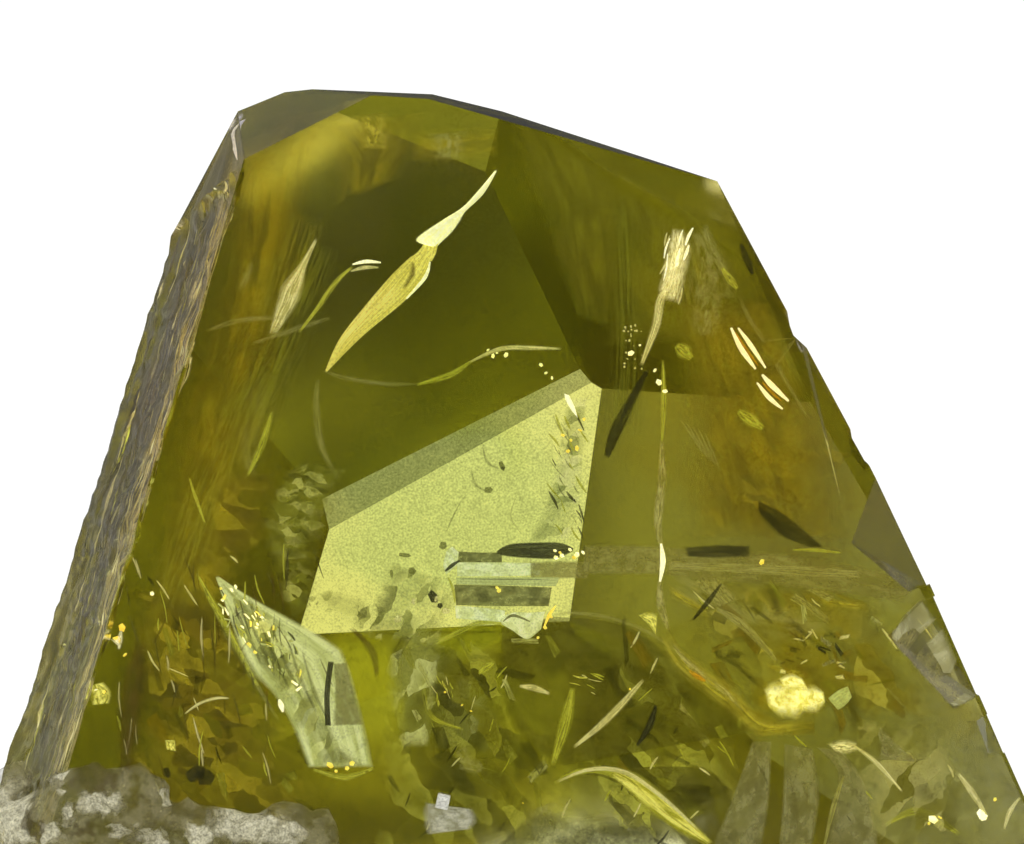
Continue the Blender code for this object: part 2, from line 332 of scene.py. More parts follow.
# Broken patches: dark, middle and light tone, own light, cover, cells a millimetre and their lean
brokenFinishes = {
    "brokenOlive": ((0.07, 0.068, 0.002), (0.20, 0.19, 0.005), (0.52, 0.52, 0.08), 0.46, 0.75, 1.5, 40),
    "brokenPale": ((0.13, 0.13, 0.01), (0.34, 0.35, 0.08), (0.72, 0.74, 0.36), 0.4, 0.75, 1.7, -30),
    "brokenGrey": ((0.15, 0.135, 0.008), (0.28, 0.255, 0.025), (0.58, 0.54, 0.2), 0.34, 0.65, 1.5, -38),
    "brokenGold": ((0.16, 0.13, 0.002), (0.32, 0.26, 0.006), (0.62, 0.54, 0.09), 0.4, 0.6, 1.5, 30),
    "scales": ((0.14, 0.14, 0.02), (0.36, 0.37, 0.09), (0.85, 0.84, 0.34), 0.36, 0.8, 2.6, -35),
    "droplets": ((0.08, 0.08, 0.004), (0.26, 0.26, 0.02), (0.54, 0.53, 0.15), 0.42, 0.72, 4.2, 80),
    "feathered": ((0.16, 0.17, 0.05), (0.38, 0.42, 0.14), (0.9, 0.88, 0.5), 0.38, 0.7, 2.6, -62),
    "brokenAmber": ((0.10, 0.075, 0.002), (0.24, 0.175, 0.003), (0.5, 0.4, 0.02), 0.38, 0.6, 2.3, 62),
}


def makeBroken(name):
    dark, middle, light, glow, cover, cells, turn = brokenFinishes[name]
    material, tree, shader = newMaterial(name)
    warped = wander(tree, millimetres(tree), scale=1.1, detail=2.0, reach=0.9, middle=0.0)
    broken = addNode(tree, "Group", {"Place": warped, "Cells": cells, "Turn": math.radians(turn)},
                     node_tree=cellGroup).outputs
    value = broken["Value"]
    tone = addMix(tree, addRange(tree, value, 0.1, 0.7), dark, middle)
    tone = addMix(tree, addRange(tree, value, 0.75, 1.1), tone, light)
    tree.links.new(tone, shader.inputs["Base Color"])
    tree.links.new(tone, shader.inputs["Emission Color"])
    shader.inputs["Emission Strength"].default_value = glow
    torn = addNode(tree, "Group", brokenSheet, node_tree=tornGroup)
    thin = addRange(tree, broken["Thin"], 0.1, 0.8, 0.2, cover)
    tree.links.new(addMath(tree, "MULTIPLY", torn.outputs["Cover"], thin), shader.inputs["Alpha"])
    material.cycles.emission_sampling = "NONE"
    return material


# Finishes of the things inside: two tones, light of their own that stands for light caught in the
# fracture, how much they cover, how soft their rim is, streaks along and across, and contrast
finishes = {
    "white": ((1.0, 0.98, 0.82), (0.95, 0.92, 0.6), 0.8, 1.0, 0.25, 4, 12, 0.1),
    "silk": ((0.90, 0.86, 0.52), (0.70, 0.64, 0.22), 0.42, 0.9, 0.6, 3, 12, 0.6),
    "straw": ((0.86, 0.79, 0.27), (0.66, 0.58, 0.12), 0.68, 0.97, 0.08, 2, 26, 0.2),
    "blob": ((1.0, 0.97, 0.6), (0.72, 0.66, 0.16), 0.75, 1.0, 0.9, 5, 5, 0.35),
    "feather": ((0.95, 0.91, 0.6), (0.6, 0.54, 0.22), 0.62, 1.0, 0.9, 5, 14, 0.8),
    "gold": ((0.46, 0.37, 0.01), (0.26, 0.21, 0.005), 0.42, 0.62, 1.3, 2, 6, 0.7),
    "crackLine": ((0.62, 0.57, 0.22), (0.34, 0.30, 0.05), 0.34, 0.75, 0.7, 6, 3, 0.8),
    "band": ((0.42, 0.39, 0.11), (0.32, 0.29, 0.06), 0.3, 0.75, 0.35, 7, 3, 0.45),
    "clear": ((0.78, 0.81, 0.50), (0.62, 0.66, 0.30), 0.62, 0.95, 0.08, 5, 2, 0.25),
    "rodDark": ((0.22, 0.22, 0.06), (0.34, 0.34, 0.11), 0.22, 0.85, 0.08, 8, 3, 0.4),
    # painted shade in grooves and painted highlights on raised streaks
    "furrow": ((0.16, 0.14, 0.05), (0.09, 0.08, 0.03), 0.1, 0.7, 0.7, 2, 8, 0.6),
    "ridge": ((0.70, 0.64, 0.36), (0.46, 0.42, 0.18), 0.5, 0.85, 0.7, 2, 8, 0.6),
    "fibre": ((0.62, 0.55, 0.24), (0.09, 0.075, 0.02), 0.36, 0.85, 0.5, 4, 22, 1.0),
    "fibreDark": ((0.24, 0.205, 0.08), (0.05, 0.045, 0.015), 0.16, 0.75, 0.5, 5, 20, 1.0),
    "flash": ((0.84, 0.80, 0.20), (0.40, 0.38, 0.02), 0.55, 0.95, 0.5, 3, 5, 0.6),
    "golden": ((0.60, 0.52, 0.06), (0.34, 0.29, 0.015), 0.45, 0.72, 1.0, 4, 6, 0.7),
    "haze": ((0.25, 0.23, 0.006), (0.17, 0.16, 0.004), 0.42, 0.5, 0.7, 2, 5, 0.5),
    "hazeWarm": ((0.34, 0.28, 0.006), (0.22, 0.18, 0.004), 0.4, 0.5, 0.7, 2, 7, 0.6),
    # painted shade for the mound's dark body
    "moundDark": ((0.20, 0.185, 0.006), (0.11, 0.10, 0.004), 0.3, 0.6, 0.12, 2, 4, 0.5),
    "bandPale": ((0.50, 0.47, 0.15), (0.38, 0.35, 0.08), 0.36, 0.72, 0.3, 5, 12, 0.5),
    "greyFacet": ((0.40, 0.38, 0.19), (0.30, 0.28, 0.12), 0.34, 0.6, 0.2, 6, 3, 0.45),
    "stonePatch": ((0.46, 0.45, 0.34), (0.32, 0.31, 0.2), 0.6, 0.95, 0.4, 4, 4, 0.4),
    # painted highlight of a thin bright facet
    "lilac": ((0.95, 0.93, 1.0), (0.7, 0.68, 0.8), 0.55, 1.0, 0.2, 4, 6, 0.3),
    "lowPale": ((0.76, 0.80, 0.48), (0.58, 0.63, 0.28), 0.5, 0.9, 0.2, 3, 9, 0.4),
    "lime": ((0.62, 0.62, 0.08), (0.40, 0.40, 0.03), 0.4, 0.8, 0.6, 3, 8, 0.5),
    "pale": ((0.66, 0.70, 0.32), (0.56, 0.60, 0.24), 0.42, 0.85, 0.12, 3, 9, 0.2),
    "greyBand": ((0.34, 0.31, 0.09), (0.26, 0.24, 0.04), 0.2, 0.55, 0.35, 6, 3, 0.3),
    "moss": ((0.20, 0.21, 0.004), (0.12, 0.13, 0.003), 0.25, 0.5, 1.3, 2, 5, 0.8),
    "veil": ((0.55, 0.53, 0.22), (0.45, 0.43, 0.1), 0.3, 0.42, 1.0, 4, 9, 0.9),
    "shade": ((0.055, 0.052, 0.003), (0.09, 0.085, 0.005), 0.03, 0.75, 0.5, 2, 5, 0.4),
    "dusk": ((0.08, 0.08, 0.004), (0.12, 0.12, 0.006), 0.04, 0.5, 1.2, 3, 4, 0.6),
    "bronze": ((0.22, 0.13, 0.005), (0.13, 0.09, 0.004), 0.08, 0.6, 0.9, 3, 6, 0.6),
    "rust": ((0.75, 0.40, 0.01), (0.5, 0.3, 0.01), 0.4, 0.8, 0.6, 3, 6, 0.4),
    "steel": ((0.12, 0.12, 0.05), (0.05, 0.05, 0.015), 0.08, 0.9, 0.25, 3, 8, 0.3),
    "spotOlive": ((0.28, 0.28, 0.05), (0.22, 0.22, 0.03), 0.15, 0.6, 0.5, 2, 3, 0.3),
    "brush": ((0.40, 0.36, 0.02), (0.12, 0.10, 0.003), 0.33, 0.7, 1.2, 3, 16, 1.0),
    "brushGreen": ((0.30, 0.31, 0.02), (0.10, 0.10, 0.003), 0.3, 0.6, 1.2, 3, 18, 1.0),
    "shardLight": ((0.46, 0.46, 0.06), (0.28, 0.28, 0.02), 0.35, 0.5, 0.12, 1, 2, 0.6),
    "shardDark": ((0.09, 0.088, 0.004), (0.13, 0.12, 0.004), 0.05, 0.42, 0.12, 1, 2, 0.6),
    "shardPale": ((0.62, 0.62, 0.26), (0.42, 0.42, 0.1), 0.38, 0.6, 0.12, 1, 2, 0.5),
    "shardWarm": ((0.36, 0.25, 0.004), (0.2, 0.15, 0.003), 0.3, 0.5, 0.12, 1, 2, 0.6),
    "glint": ((1.0, 0.98, 0.7), (1.0, 0.9, 0.3), 1.1, 1.0, 0.0, 1, 1, 0.0),
    "spark": ((1.0, 0.9, 0.15), (0.9, 0.6, 0.05), 0.9, 1.0, 0.0, 1, 1, 0.0),
}
insideMaterials = {}


def makeFinish(name):
    light, dark, glow, cover, edge, along, across, contrast = finishes[name]
    material, tree, shader = newMaterial(name)
    torn = addNode(tree, "Group", {"Along": along, "Across": across, "Edge": edge, "Contrast": contrast},
                   node_tree=tornGroup).outputs
    tone = addMix(tree, torn["Grain"], dark, light)
    tree.links.new(tone, shader.inputs["Base Color"])
    tree.links.new(tone, shader.inputs["Emission Color"])
    shader.inputs["Emission Strength"].default_value = glow
    shader.inputs["Roughness"].default_value = 0.5
    if edge:
        tree.links.new(addMath(tree, "MULTIPLY", torn["Cover"], cover), shader.inputs["Alpha"])
    material.cycles.emission_sampling = "NONE"
    return material


def insideMaterial(name):
    # each finish is made once, when a piece first asks for it
    if name not in insideMaterials:
        insideMaterials[name] = makeBroken(name) if name in brokenFinishes else makeFinish(name)
    return insideMaterials[name]


# A smooth line through the points given, at a share of its length
def onLine(points, share, curved=True):
    spans = [math.dist(a, b) for a, b in zip(points, points[1:])]
    reach = share * sum(spans)
    for index, span in enumerate(spans):
        if reach <= span or index == len(spans) - 1:
            break
        reach -= span
    part = min(1.0, reach / span) if span else 0.0
    here, there = Vector(points[index]), Vector(points[index + 1])
    if not curved or len(points) < 3:
        return here.lerp(there, part)
    before = Vector(points[max(index - 1, 0)])
    after = Vector(points[min(index + 2, len(points) - 1)])
    pull = there - before
    bend = 2 * before - 5 * here + 4 * there - after
    twist = 3 * here - before - 3 * there + after
    return (2 * here + pull * part + bend * part ** 2 + twist * part ** 3) / 2


def addSheet(bm, slot, left, right, depth, cells=(6, 24), wave=0.05, curved=True):
    # a thin sheet between two lines drawn on the front face; depth in millimetres, or (start, end, tilt)
    start, end, tilt = depth if isinstance(depth, tuple) else (depth, depth, 0)
    grid = bmesh.ops.create_grid(bm, x_segments=cells[0], y_segments=cells[1], size=0.5, calc_uvs=True)
    for vert in grid["verts"]:
        across, along = vert.co.x + 0.5, vert.co.y + 0.5
        place = onLine(left, along, curved).lerp(onLine(right, along, curved), across)
        vert.co = spot(place.x, place.y, start + (end - start) * along + tilt * (across - 0.5))
        vert.co.y += wave * mm * noise.noise(vert.co * 900)
    for face in {face for vert in grid["verts"] for face in vert.link_faces}:
        face.material_index = slot
        face.smooth = True


def addLine(bm, slot, line, width, depth, cells=(2, 16), taper=True):
    # a narrow sheet along one line, width in photo pixels
    leftSide, rightSide = [], []
    for index, point in enumerate(line):
        ahead = Vector(line[min(index + 1, len(line) - 1)]) - Vector(line[max(index - 1, 0)])
        side = Vector((-ahead.y, ahead.x)).normalized()
        share = index / (len(line) - 1)
        half = width / 2 * (math.sin(math.pi * (0.12 + 0.76 * share)) if taper else 1.0)
        leftSide.append(tuple(Vector(point) - side * half))
        rightSide.append(tuple(Vector(point) + side * half))
    addSheet(bm, slot, leftSide, rightSide, depth, cells)


def addDots(bm, slot, dice, places, size, depth, sides=5, stretch=1.6):
    # small facets or pits; places and size are in photo pixels
    for column, row in places:
        middle = spot(column, row, depth + dice.uniform(-0.12, 0.12))
        turn = Matrix.Rotation(math.radians(90 + dice.uniform(-20, 20)), 4, "X")
        spin = Matrix.Rotation(dice.uniform(0, math.pi), 4, "Y")
        shape = Matrix.Diagonal((dice.uniform(0.35, stretch), 1.0, 1.0, 1.0))
        made = bmesh.ops.create_circle(bm, cap_ends=True, segments=sides, calc_uvs=True,
                                       radius=size * photo["pixel"] * dice.uniform(0.5, 1.1),
                                       matrix=Matrix.Translation(middle) @ spin @ turn @ shape)
        for face in {face for vert in made["verts"] for face in vert.link_faces}:
            face.material_index = slot


def scatter(dice, count, columns, rows, keep=None):
    # random places in a box of photo pixels, kept where the rule says so
    found = []
    while len(found) < count:
        place = (dice.uniform(*columns), dice.uniform(*rows))
        if keep is None or keep(*place):
            found.append(place)
    return found


def strokes(dice, count, kinds, columns, rows, heading, long, wide, depth, keep=None):
    # many fine brush-like lines that run one way; heading is in degrees down from the right
    lines = []
    for column, row in scatter(dice, count, columns, rows, keep):
        way = math.radians(heading + dice.gauss(0, 9))
        reach = long * dice.uniform(0.4, 1.3) / 2
        bend = dice.uniform(-0.12, 0.12) * reach
        step = Vector((math.cos(way), math.sin(way))) * reach
        side = Vector((-math.sin(way), math.cos(way))) * bend
        middle = Vector((column, row))
        line = [tuple(middle - step), tuple(middle + side), tuple(middle + step)]
        lines.append(("line", dice.choice(kinds), line, wide * dice.uniform(0.5, 1.3),
                      (depth, depth + dice.uniform(0, 0.3), 0), (2, 6)))
    return lines


def shards(dice, count, kinds, columns, rows, heading, size, depth, keep=None):
    # many small flat breaks with sharp corners
    sheets = []
    for column, row in scatter(dice, count, columns, rows, keep):
        way = math.radians(heading + dice.gauss(0, 28))
        long = Vector((math.cos(way), math.sin(way))) * size * dice.uniform(0.4, 1.2)
        wide = Vector((-math.sin(way), math.cos(way))) * size * dice.uniform(0.12, 0.45)
        middle = Vector((column, row))
        corner = [tuple(middle + long * end * dice.uniform(0.4, 1) + wide * rim * dice.uniform(0.3, 1))
                  for end, rim in ((-1, -1), (1, -1), (-1, 1), (1, 1))]
        tilt = dice.uniform(-0.5, 0.5)
        sheets.append(("sheet", dice.choice(kinds), corner[:2], corner[2:], (depth, depth + tilt, tilt),
                       (2, 3), 0.02, False))
    return sheets


# How the things inside are kept inside, in metres
inner = {
    "foot": 0.1 * mm,      # lowest height above the crystal's foot
    "near": 0.06 * mm,     # points nearer to the surface than this, or outside it
    "under": 0.08 * mm,    # go this far below it
    "thick": 0.012 * mm,
}


def buildInside(name, piece, dice=None):
    kinds = list(dict.fromkeys(entry[1] for entry in piece["parts"]))
    bm = bmesh.new()
    bm.loops.layers.uv.new("sheet")
    for make, kind, *rest in piece["parts"]:
        slot = kinds.index(kind)
        if make == "sheet":
            addSheet(bm, slot, *rest)
        elif make == "line":
            addLine(bm, slot, *rest)
        else:
            addDots(bm, slot, dice or random.Random(len(name)), *rest)
    for vert in bm.verts:
        vert.co.z = max(vert.co.z, inner["foot"])
        skin, outward = crystalSkin.find_nearest(vert.co)[:2]
        if (vert.co - skin).dot(outward) > -inner["near"]:
            vert.co = skin - outward * inner["under"]
        vert.co.z = max(vert.co.z, inner["foot"])
    made = placeMesh(bm, name)
    for kind in kinds:
        made.data.materials.append(insideMaterial(kind))
    body = made.modifiers.new("body", "SOLIDIFY")
    body.thickness = inner["thick"]
    body.offset = 0.0
    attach(made, "root")
    print(name, "done")


# The crystal itself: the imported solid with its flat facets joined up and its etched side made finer
crystal = {
    "flat": 0.5,       # facets that differ by fewer degrees become one
    "crisp": 12,       # edges of more degrees stay crisp
}
etched = {
    "facing": (-0.6, -0.15),     # its facets look further left and further to the front than this
    "largest": 1.0 * mm * mm,    # and are no larger
    "run": (0.3, 0.0, 0.954),    # the way its ledges run
    "spread": 0.6,               # cosine of the widest angle between a ledge and the whole side
    "cuts": 3,
    "depth": 0.11 * mm,
    "ledge": (5.0, 0.6, 1.0),    # ledges a millimetre across and along the face, and how deep
    "pit": (3.0, 2.5, 0.7),
}
# The crest's left corner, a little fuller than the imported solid: each point in mm and where it goes
crestCorner = (
    ((-9.05, -3.33, 25.0), (-9.15, -3.45, 25.75)),
    ((-6.19, -3.36, 26.38), (-7.55, -3.6, 26.4)),
    ((-5.71, -3.54, 26.51), (-6.6, -3.7, 26.5)),
)
# How facets that face a given way look: direction, within how many degrees, tone, roughness. The tone is
# painted shade and painted reflection for each facing, with some tint: dark on the upward crest facets, grey
# on the mirroring top-left facet
facetShading = (
    ((0.15, -0.12, 0.97), 15, (0.1, 0.1, 0.08), 0.1),
    ((-0.39, -0.45, 0.8), 20, (0.36, 0.36, 0.44), 0.12),
    ((-0.86, -0.29, 0.43), 6, (0.40, 0.38, 0.25), 0.15),
    ((-0.9, -0.4, 0.3), 40, (0.66, 0.60, 0.36), 0.05),
    ((-0.18, 0.9, 0.4), 6, (0.42, 0.43, 0.4), 0.04),
    ((0.52, -0.84, -0.16), 8, (0.3, 0.28, 0.06), 0.2),
    ((0.59, -0.66, 0.46), 14, (0.6, 0.55, 0.22), 0.2),
    ((0.56, 0.83, -0.04), 8, (1.0, 0.96, 0.5), 0.25),
    ((0.91, 0.05, 0.4), 8, (0.95, 0.9, 0.5), 0.25),
    ((0.0, -1.0, 0.04), 3, (1.0, 1.0, 1.0), 0.0),
    ((0.03, 1.0, 0.04), 3, (1.0, 1.0, 1.0), 0.0),
    ((0.0, 0.91, 0.41), 6, (1.0, 1.0, 1.0), 0.02),
)
otherFacets = ((1.0, 1.0, 1.0), 0.2)


def paintFacetShade(bm):
    # each facet gets its painted shade tone and its roughness by the way it faces
    tone = bm.faces.layers.float_color.new("facetPaintedShade")
    rough = bm.faces.layers.float.new("facetRough")
    for face in bm.faces:
        fits = [row for row in facetShading if face.normal.angle(Vector(row[0])) < math.radians(row[1])]
        shade, gloss = fits[0][2:] if fits else otherFacets
        face[tone] = (*shade, 1.0)
        face[rough] = gloss


def buildCrystal():
    bm = nodeMesh("titanite_crystal")
    bmesh.ops.dissolve_limit(bm, angle_limit=math.radians(crystal["flat"]), verts=bm.verts[:],
                             edges=bm.edges[:])
    for start, end in crestCorner:
        corner = min(bm.verts, key=lambda vert: (vert.co - Vector(start) * mm).length)
        corner.co = Vector(end) * mm
    bm.normal_update()
    left, front = etched["facing"]
    rough = [face for face in bm.faces if face.normal.x < left and face.normal.y < front
             and face.calc_area() < etched["largest"]]
    outward = sum((face.normal for face in rough), Vector()).normalized()
    along = Vector(etched["run"])
    across = along.cross(outward).normalized()
    edges = {edge for face in rough for edge in face.edges}
    bmesh.ops.subdivide_edges(bm, edges=list(edges), cuts=etched["cuts"], use_grid_fill=True)
    bm.normal_update()
    paintFacetShade(bm)
    for vert in bm.verts:
        facing = [face.normal.dot(outward) for face in vert.link_faces]
        if facing and min(facing) > etched["spread"]:
            run, row = along.dot(vert.co) / mm, across.dot(vert.co) / mm
            deep = 1.0
            for (short, long, share), seed in ((etched["ledge"], 1.7), (etched["pit"], 5.1)):
                deep += share * noise.noise(Vector((row * short, run * long, seed)))
            vert.co -= outward * etched["depth"] * deep
            vert.co.z = max(vert.co.z, 0.0)
    piece = placeMesh(bm, "crystalBody")
    shadeFlatFacets(piece, crystal["crisp"], makeGlass())
    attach(piece, "root")
    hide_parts("titanite_crystal")
    return piece


crystalMesh = buildCrystal().data
crystalSkin = BVHTree.FromPolygons([vert.co for vert in crystalMesh.vertices],
                                   [face.vertices for face in crystalMesh.polygons])
print("crystal body done")


# Each piece inside is a list of entries, with places in photo pixels and depths in millimetres:
# sheet, finish, its two sides, depth, cells, wave, curved; line, finish, places, width, depth, cells, taper;
# dots, finish, places, size, depth, sides, stretch
# The flame-shaped fracture in the upper half, with its silky blade and white head
flame = {
    "parts": (
        ("sheet", "white", [(496, 170), (479, 190), (462, 208), (440, 222), (415, 240), (432, 247)],
         [(497, 171), (484, 194), (466, 212), (459, 224), (450, 236), (436, 248)], (1.2, 1.5, 0.5),
         (10, 40)),
        # neck and blade
        ("sheet", "straw", [(424, 244), (418, 252), (408, 260)], [(438, 244), (436, 254), (432, 262)],
         (1.5, 1.6, 0.3), (8, 16)),
        ("sheet", "straw", [(411, 257), (392, 275), (367, 304), (340, 339), (325, 372)],
         [(432, 254), (427, 272), (407, 300), (362, 338), (326, 374)], (1.7, 2.4, 0.9), (14, 60)),
        # a bright and a dark line down the blade
        ("line", "white", [(430, 262), (425, 278), (406, 300)], 4, (1.4, 1.6, 0)),
        ("line", "bronze", [(413, 262), (412, 275), (403, 290)], 8, (1.4, 1.6, 0)),
    ),
}
buildInside("flameFracture", flame)

# Fine curved threads and feathers left of the flame, and the wavy line above the ledge
threads = {
    "parts": (
        ("line", "white", [(381, 263), (366, 262), (352, 265)], 4, (1.0, 1.1, 0)),
        ("line", "silk", [(379, 268), (364, 268), (350, 272)], 5, (1.0, 1.1, 0)),
        ("line", "lime", [(354, 266), (340, 278), (328, 293), (318, 308), (298, 334)], 7, (1.0, 1.4, 0)),
        ("sheet", "silk", [(316, 237), (300, 262), (281, 284), (276, 300), (268, 336)],
         [(318, 239), (307, 268), (304, 290), (297, 308), (275, 338)], (1.2, 1.8, 0.4)),
        ("line", "veil", [(205, 332), (240, 321), (290, 318)], 9, 1.4),
        ("line", "veil", [(250, 345), (295, 330), (332, 318)], 9, 1.4),
        ("line", "veil", [(252, 262), (246, 278), (238, 292)], 12, 1.4),
        # the wavy line above the ledge
        ("line", "veil", [(322, 371), (345, 379), (385, 385), (422, 385)], 7, 2.0),
        ("line", "lime", [(416, 386), (450, 376), (472, 362)], 8, 2.0),
        ("line", "silk", [(468, 364), (500, 350), (530, 349), (562, 350)], 6, 2.0),
        ("line", "veil", [(318, 378), (316, 410), (322, 450), (338, 480)], 12, (2.4, 2.6, 0)),
        ("sheet", "veil", [(250, 380), (232, 440), (248, 480)], [(275, 390), (262, 450), (256, 482)],
         (2.6, 2.8, 0)),
        ("line", "lime", [(272, 412), (262, 445), (247, 478)], 9, (2.0, 2.2, 0)),
        ("line", "lime", [(189, 478), (196, 500), (205, 525)], 5, (1.4, 1.5, 0)),
        ("dots", "glint",
         [(488, 351), (497, 354), (506, 356), (541, 366), (546, 374), (552, 379), (493, 357)], 2.2, 1.9),
    ),
}
buildInside("threadsAndFeathers", threads)

# Streaks, pits and speckles in front of the pale window
windowDice = random.Random(4)
windowMarks = {
    "parts": (
        ("sheet", "feathered", [(566, 400), (556, 450), (545, 500), (520, 545)],
         [(588, 396), (586, 450), (583, 500), (576, 545)], 2.0, (8, 24)),
        *strokes(windowDice, 40, ("dusk", "moss", "shade", "lime"), (552, 584), (412, 540), 62, 18, 3,
                 1.7),
        ("sheet", "white", [(564, 394), (566, 402), (572, 412)], [(569, 396), (575, 408), (578, 419)],
         (1.4, 1.5, 0), (4, 8)),
        ("dots", "spark", [(563, 436), (571, 441), (577, 449), (568, 452), (580, 431), (584, 420)], 2.4,
         1.4),
        # round spots and their tails
        ("dots", "spotOlive", [(404.7, 556.5)], 11, 2.0),
        ("dots", "spotOlive", [(391.5, 575), (443, 547), (412, 572)], 7, 2.0),
        ("dots", "spotOlive", [(502, 467), (488.5, 491)], 8, 1.8),
        ("dots", "shade", [(503, 469)], 3, 1.7),
        ("line", "dusk", [(482.6, 445), (487, 463), (500, 470)], 5, 1.8),
        ("line", "dusk", [(471, 469), (475, 485), (487, 493)], 5, 1.8),
        ("line", "veil", [(516, 498), (511, 518), (522, 536)], 3, 1.8),
        ("line", "dusk", [(461, 502), (452, 520), (446, 534)], 3, 1.9),
        # scaly patches at the window's foot
        ("sheet", "scales", [(378, 558), (368, 600), (360, 640)], [(450, 580), (454, 605), (445, 650)],
         2.0, (8, 16)),
        ("sheet", "scales", [(300, 600), (330, 618), (370, 645)], [(330, 590), (370, 600), (420, 620)],
         2.2, (8, 16)),
        ("dots", "silk", [(413.5, 602.6), (436, 600), (446, 612), (398, 620)], 4, 1.8),
        ("dots", "steel", [(440, 607), (433, 598)], 5, 1.9),
    ),
}
buildInside("windowMarks", windowMarks, windowDice)

# The healed fracture left of the window: a veil of small droplets
veilDice = random.Random(9)
fingerprint = {
    "parts": (
        ("sheet", "droplets", [(300, 462), (268, 500), (266, 560), (292, 620)],
         [(350, 468), (338, 505), (322, 560), (308, 625)], 2.2, (8, 24)),
        ("sheet", "droplets", [(285, 470), (262, 510), (275, 570)], [(330, 475), (318, 515), (305, 570)],
         1.9, (8, 24)),
        ("dots", "dusk", scatter(veilDice, 46, (262, 340), (468, 612),
                                 lambda x, y: abs(x - 300 + (y - 530) * 0.1) < 36), 3.4, 2.4, 6),
    ),
}
buildInside("fingerprintVeil", fingerprint, veilDice)

# The lying rod with its pale tip, dark lens and strips
rod = {
    "parts": (
        ("sheet", "clear", [(443, 566), (446, 552), (452, 547)], [(446, 575), (457, 566), (459, 553)],
         1.0, (4, 6), 0.02, False),
        ("line", "steel", [(445, 572), (452, 566), (460, 561)], 4, 0.9),
        ("sheet", "rodDark", [(458, 552), (478, 553), (502, 553)], [(458, 563), (478, 563), (502, 563)],
         1.0),
        ("sheet", "steel", [(496, 552), (513, 543.5), (557, 542.5), (574, 549)],
         [(497, 554), (512, 558), (552, 560), (573, 552)], (0.8, 0.9, 0.2), (6, 24)),
        ("sheet", "clear", [(457, 563), (500, 563), (540, 564)], [(457, 577), (500, 577), (540, 576)],
         (1.0, 1.2, 0)),
        ("sheet", "band", [(530, 562), (560, 561), (590, 562)], [(530, 580), (560, 580), (588, 580)],
         (1.1, 1.3, 0)),
        ("sheet", "pale", [(456, 578), (500, 578), (560, 578)], [(456, 585), (500, 586), (556, 587)],
         (1.0, 1.1, 0)),
        ("line", "dusk", [(456, 579), (500, 580), (556, 580)], 2.5, 0.9),
        ("sheet", "rodDark", [(454, 585), (500, 586), (552, 588)], [(456, 606), (500, 607), (549, 607)],
         (1.0, 1.1, 0)),
        ("sheet", "clear", [(455, 606), (480, 608), (505, 611)], [(456, 619), (480, 621), (505, 623)],
         0.9),
        ("sheet", "clear", [(499, 619), (513, 613), (530, 613), (545, 612)],
         [(502, 625), (512, 631), (527, 640), (541, 630)], (0.9, 1.0, 0.2)),
        ("line", "rodDark", [(503, 622), (513, 616), (530, 622)], 3, 0.8),
        ("line", "spark", [(544, 628), (549, 616), (556, 606)], 3, 0.8),
        ("line", "lime", [(448, 577), (453, 590), (455, 604)], 4, 0.8),
        ("dots", "glint", [(555, 551), (562, 556), (570, 550), (577, 555), (583, 553), (556, 558)], 3.0,
         0.7),
        ("dots", "spark",
         [(560, 553), (574, 558), (497, 588), (499, 591), (551, 617), (545, 628), (538, 638)], 2.6, 0.7),
    ),
}
buildInside("lyingRod", rod)

# Light and dark bands that cross the right half, and the lens above them
bands = {
    "parts": (
        ("sheet", "band", [(584, 545), (630, 545), (662, 546)], [(582, 577), (630, 577), (661, 577)],
         1.8),
        ("sheet", "band", [(664, 547), (740, 551), (800, 556), (912, 578)],
         [(664, 577), (719, 584), (791, 590), (905, 604)], (1.8, 2.0, 0), (6, 30)),
        ("sheet", "bandPale", [(668, 563), (740, 564), (800, 566), (862, 572)],
         [(668, 571), (740, 575), (800, 578), (862, 580)], (1.6, 1.8, 0), (4, 24)),
        ("sheet", "shade", [(684, 548), (715, 545), (752, 546)], [(688, 558), (715, 560), (750, 558)],
         1.6),
        ("line", "lime", [(792, 551), (815, 551), (842, 554)], 5, 1.6),
        ("sheet", "shade", [(758, 500), (790, 517), (826, 549)], [(757, 511), (778, 537), (810, 549)],
         (1.6, 1.8, 0.2)),
        ("dots", "spark", [(762, 563)], 4, 1.5),
        ("sheet", "veil", [(671, 600), (740, 640), (800, 650)], [(665, 560), (760, 590), (880, 610)],
         (2.4, 2.6, 0)),
    ),
}
buildInside("crossingBands", bands)

# The upright crack right of the window, which turns into a yellowish band low down
crack = {
    "parts": (
        ("line", "lime", [(663, 360), (664, 400), (662, 445)], 7, 1.4),
        ("line", "crackLine", [(662, 440), (662, 481), (658, 523), (661, 548)], 12, 1.4, (3, 20)),
        ("line", "white", [(661, 544), (663, 562), (660, 583)], 6, 1.3),
        ("line", "crackLine", [(660, 580), (661, 606), (669, 632)], 11, 1.4),
        ("line", "golden",
         [(664, 630), (676, 656), (693, 672), (716, 689), (733, 702), (762, 728), (808, 724)], 30,
         (1.4, 1.2, 0), (5, 30)),
        ("line", "crackLine", [(668, 640), (693, 668), (722, 690), (745, 712)], 9, 1.2),
        ("line", "rust", [(689, 671), (697, 677), (706, 682)], 7, 1.1),
        ("sheet", "flash", [(638, 616), (648, 612), (658, 614)], [(641, 618), (650, 628), (656, 638)],
         1.3, (4, 6)),
    ),
}
buildInside("uprightCrack", crack)

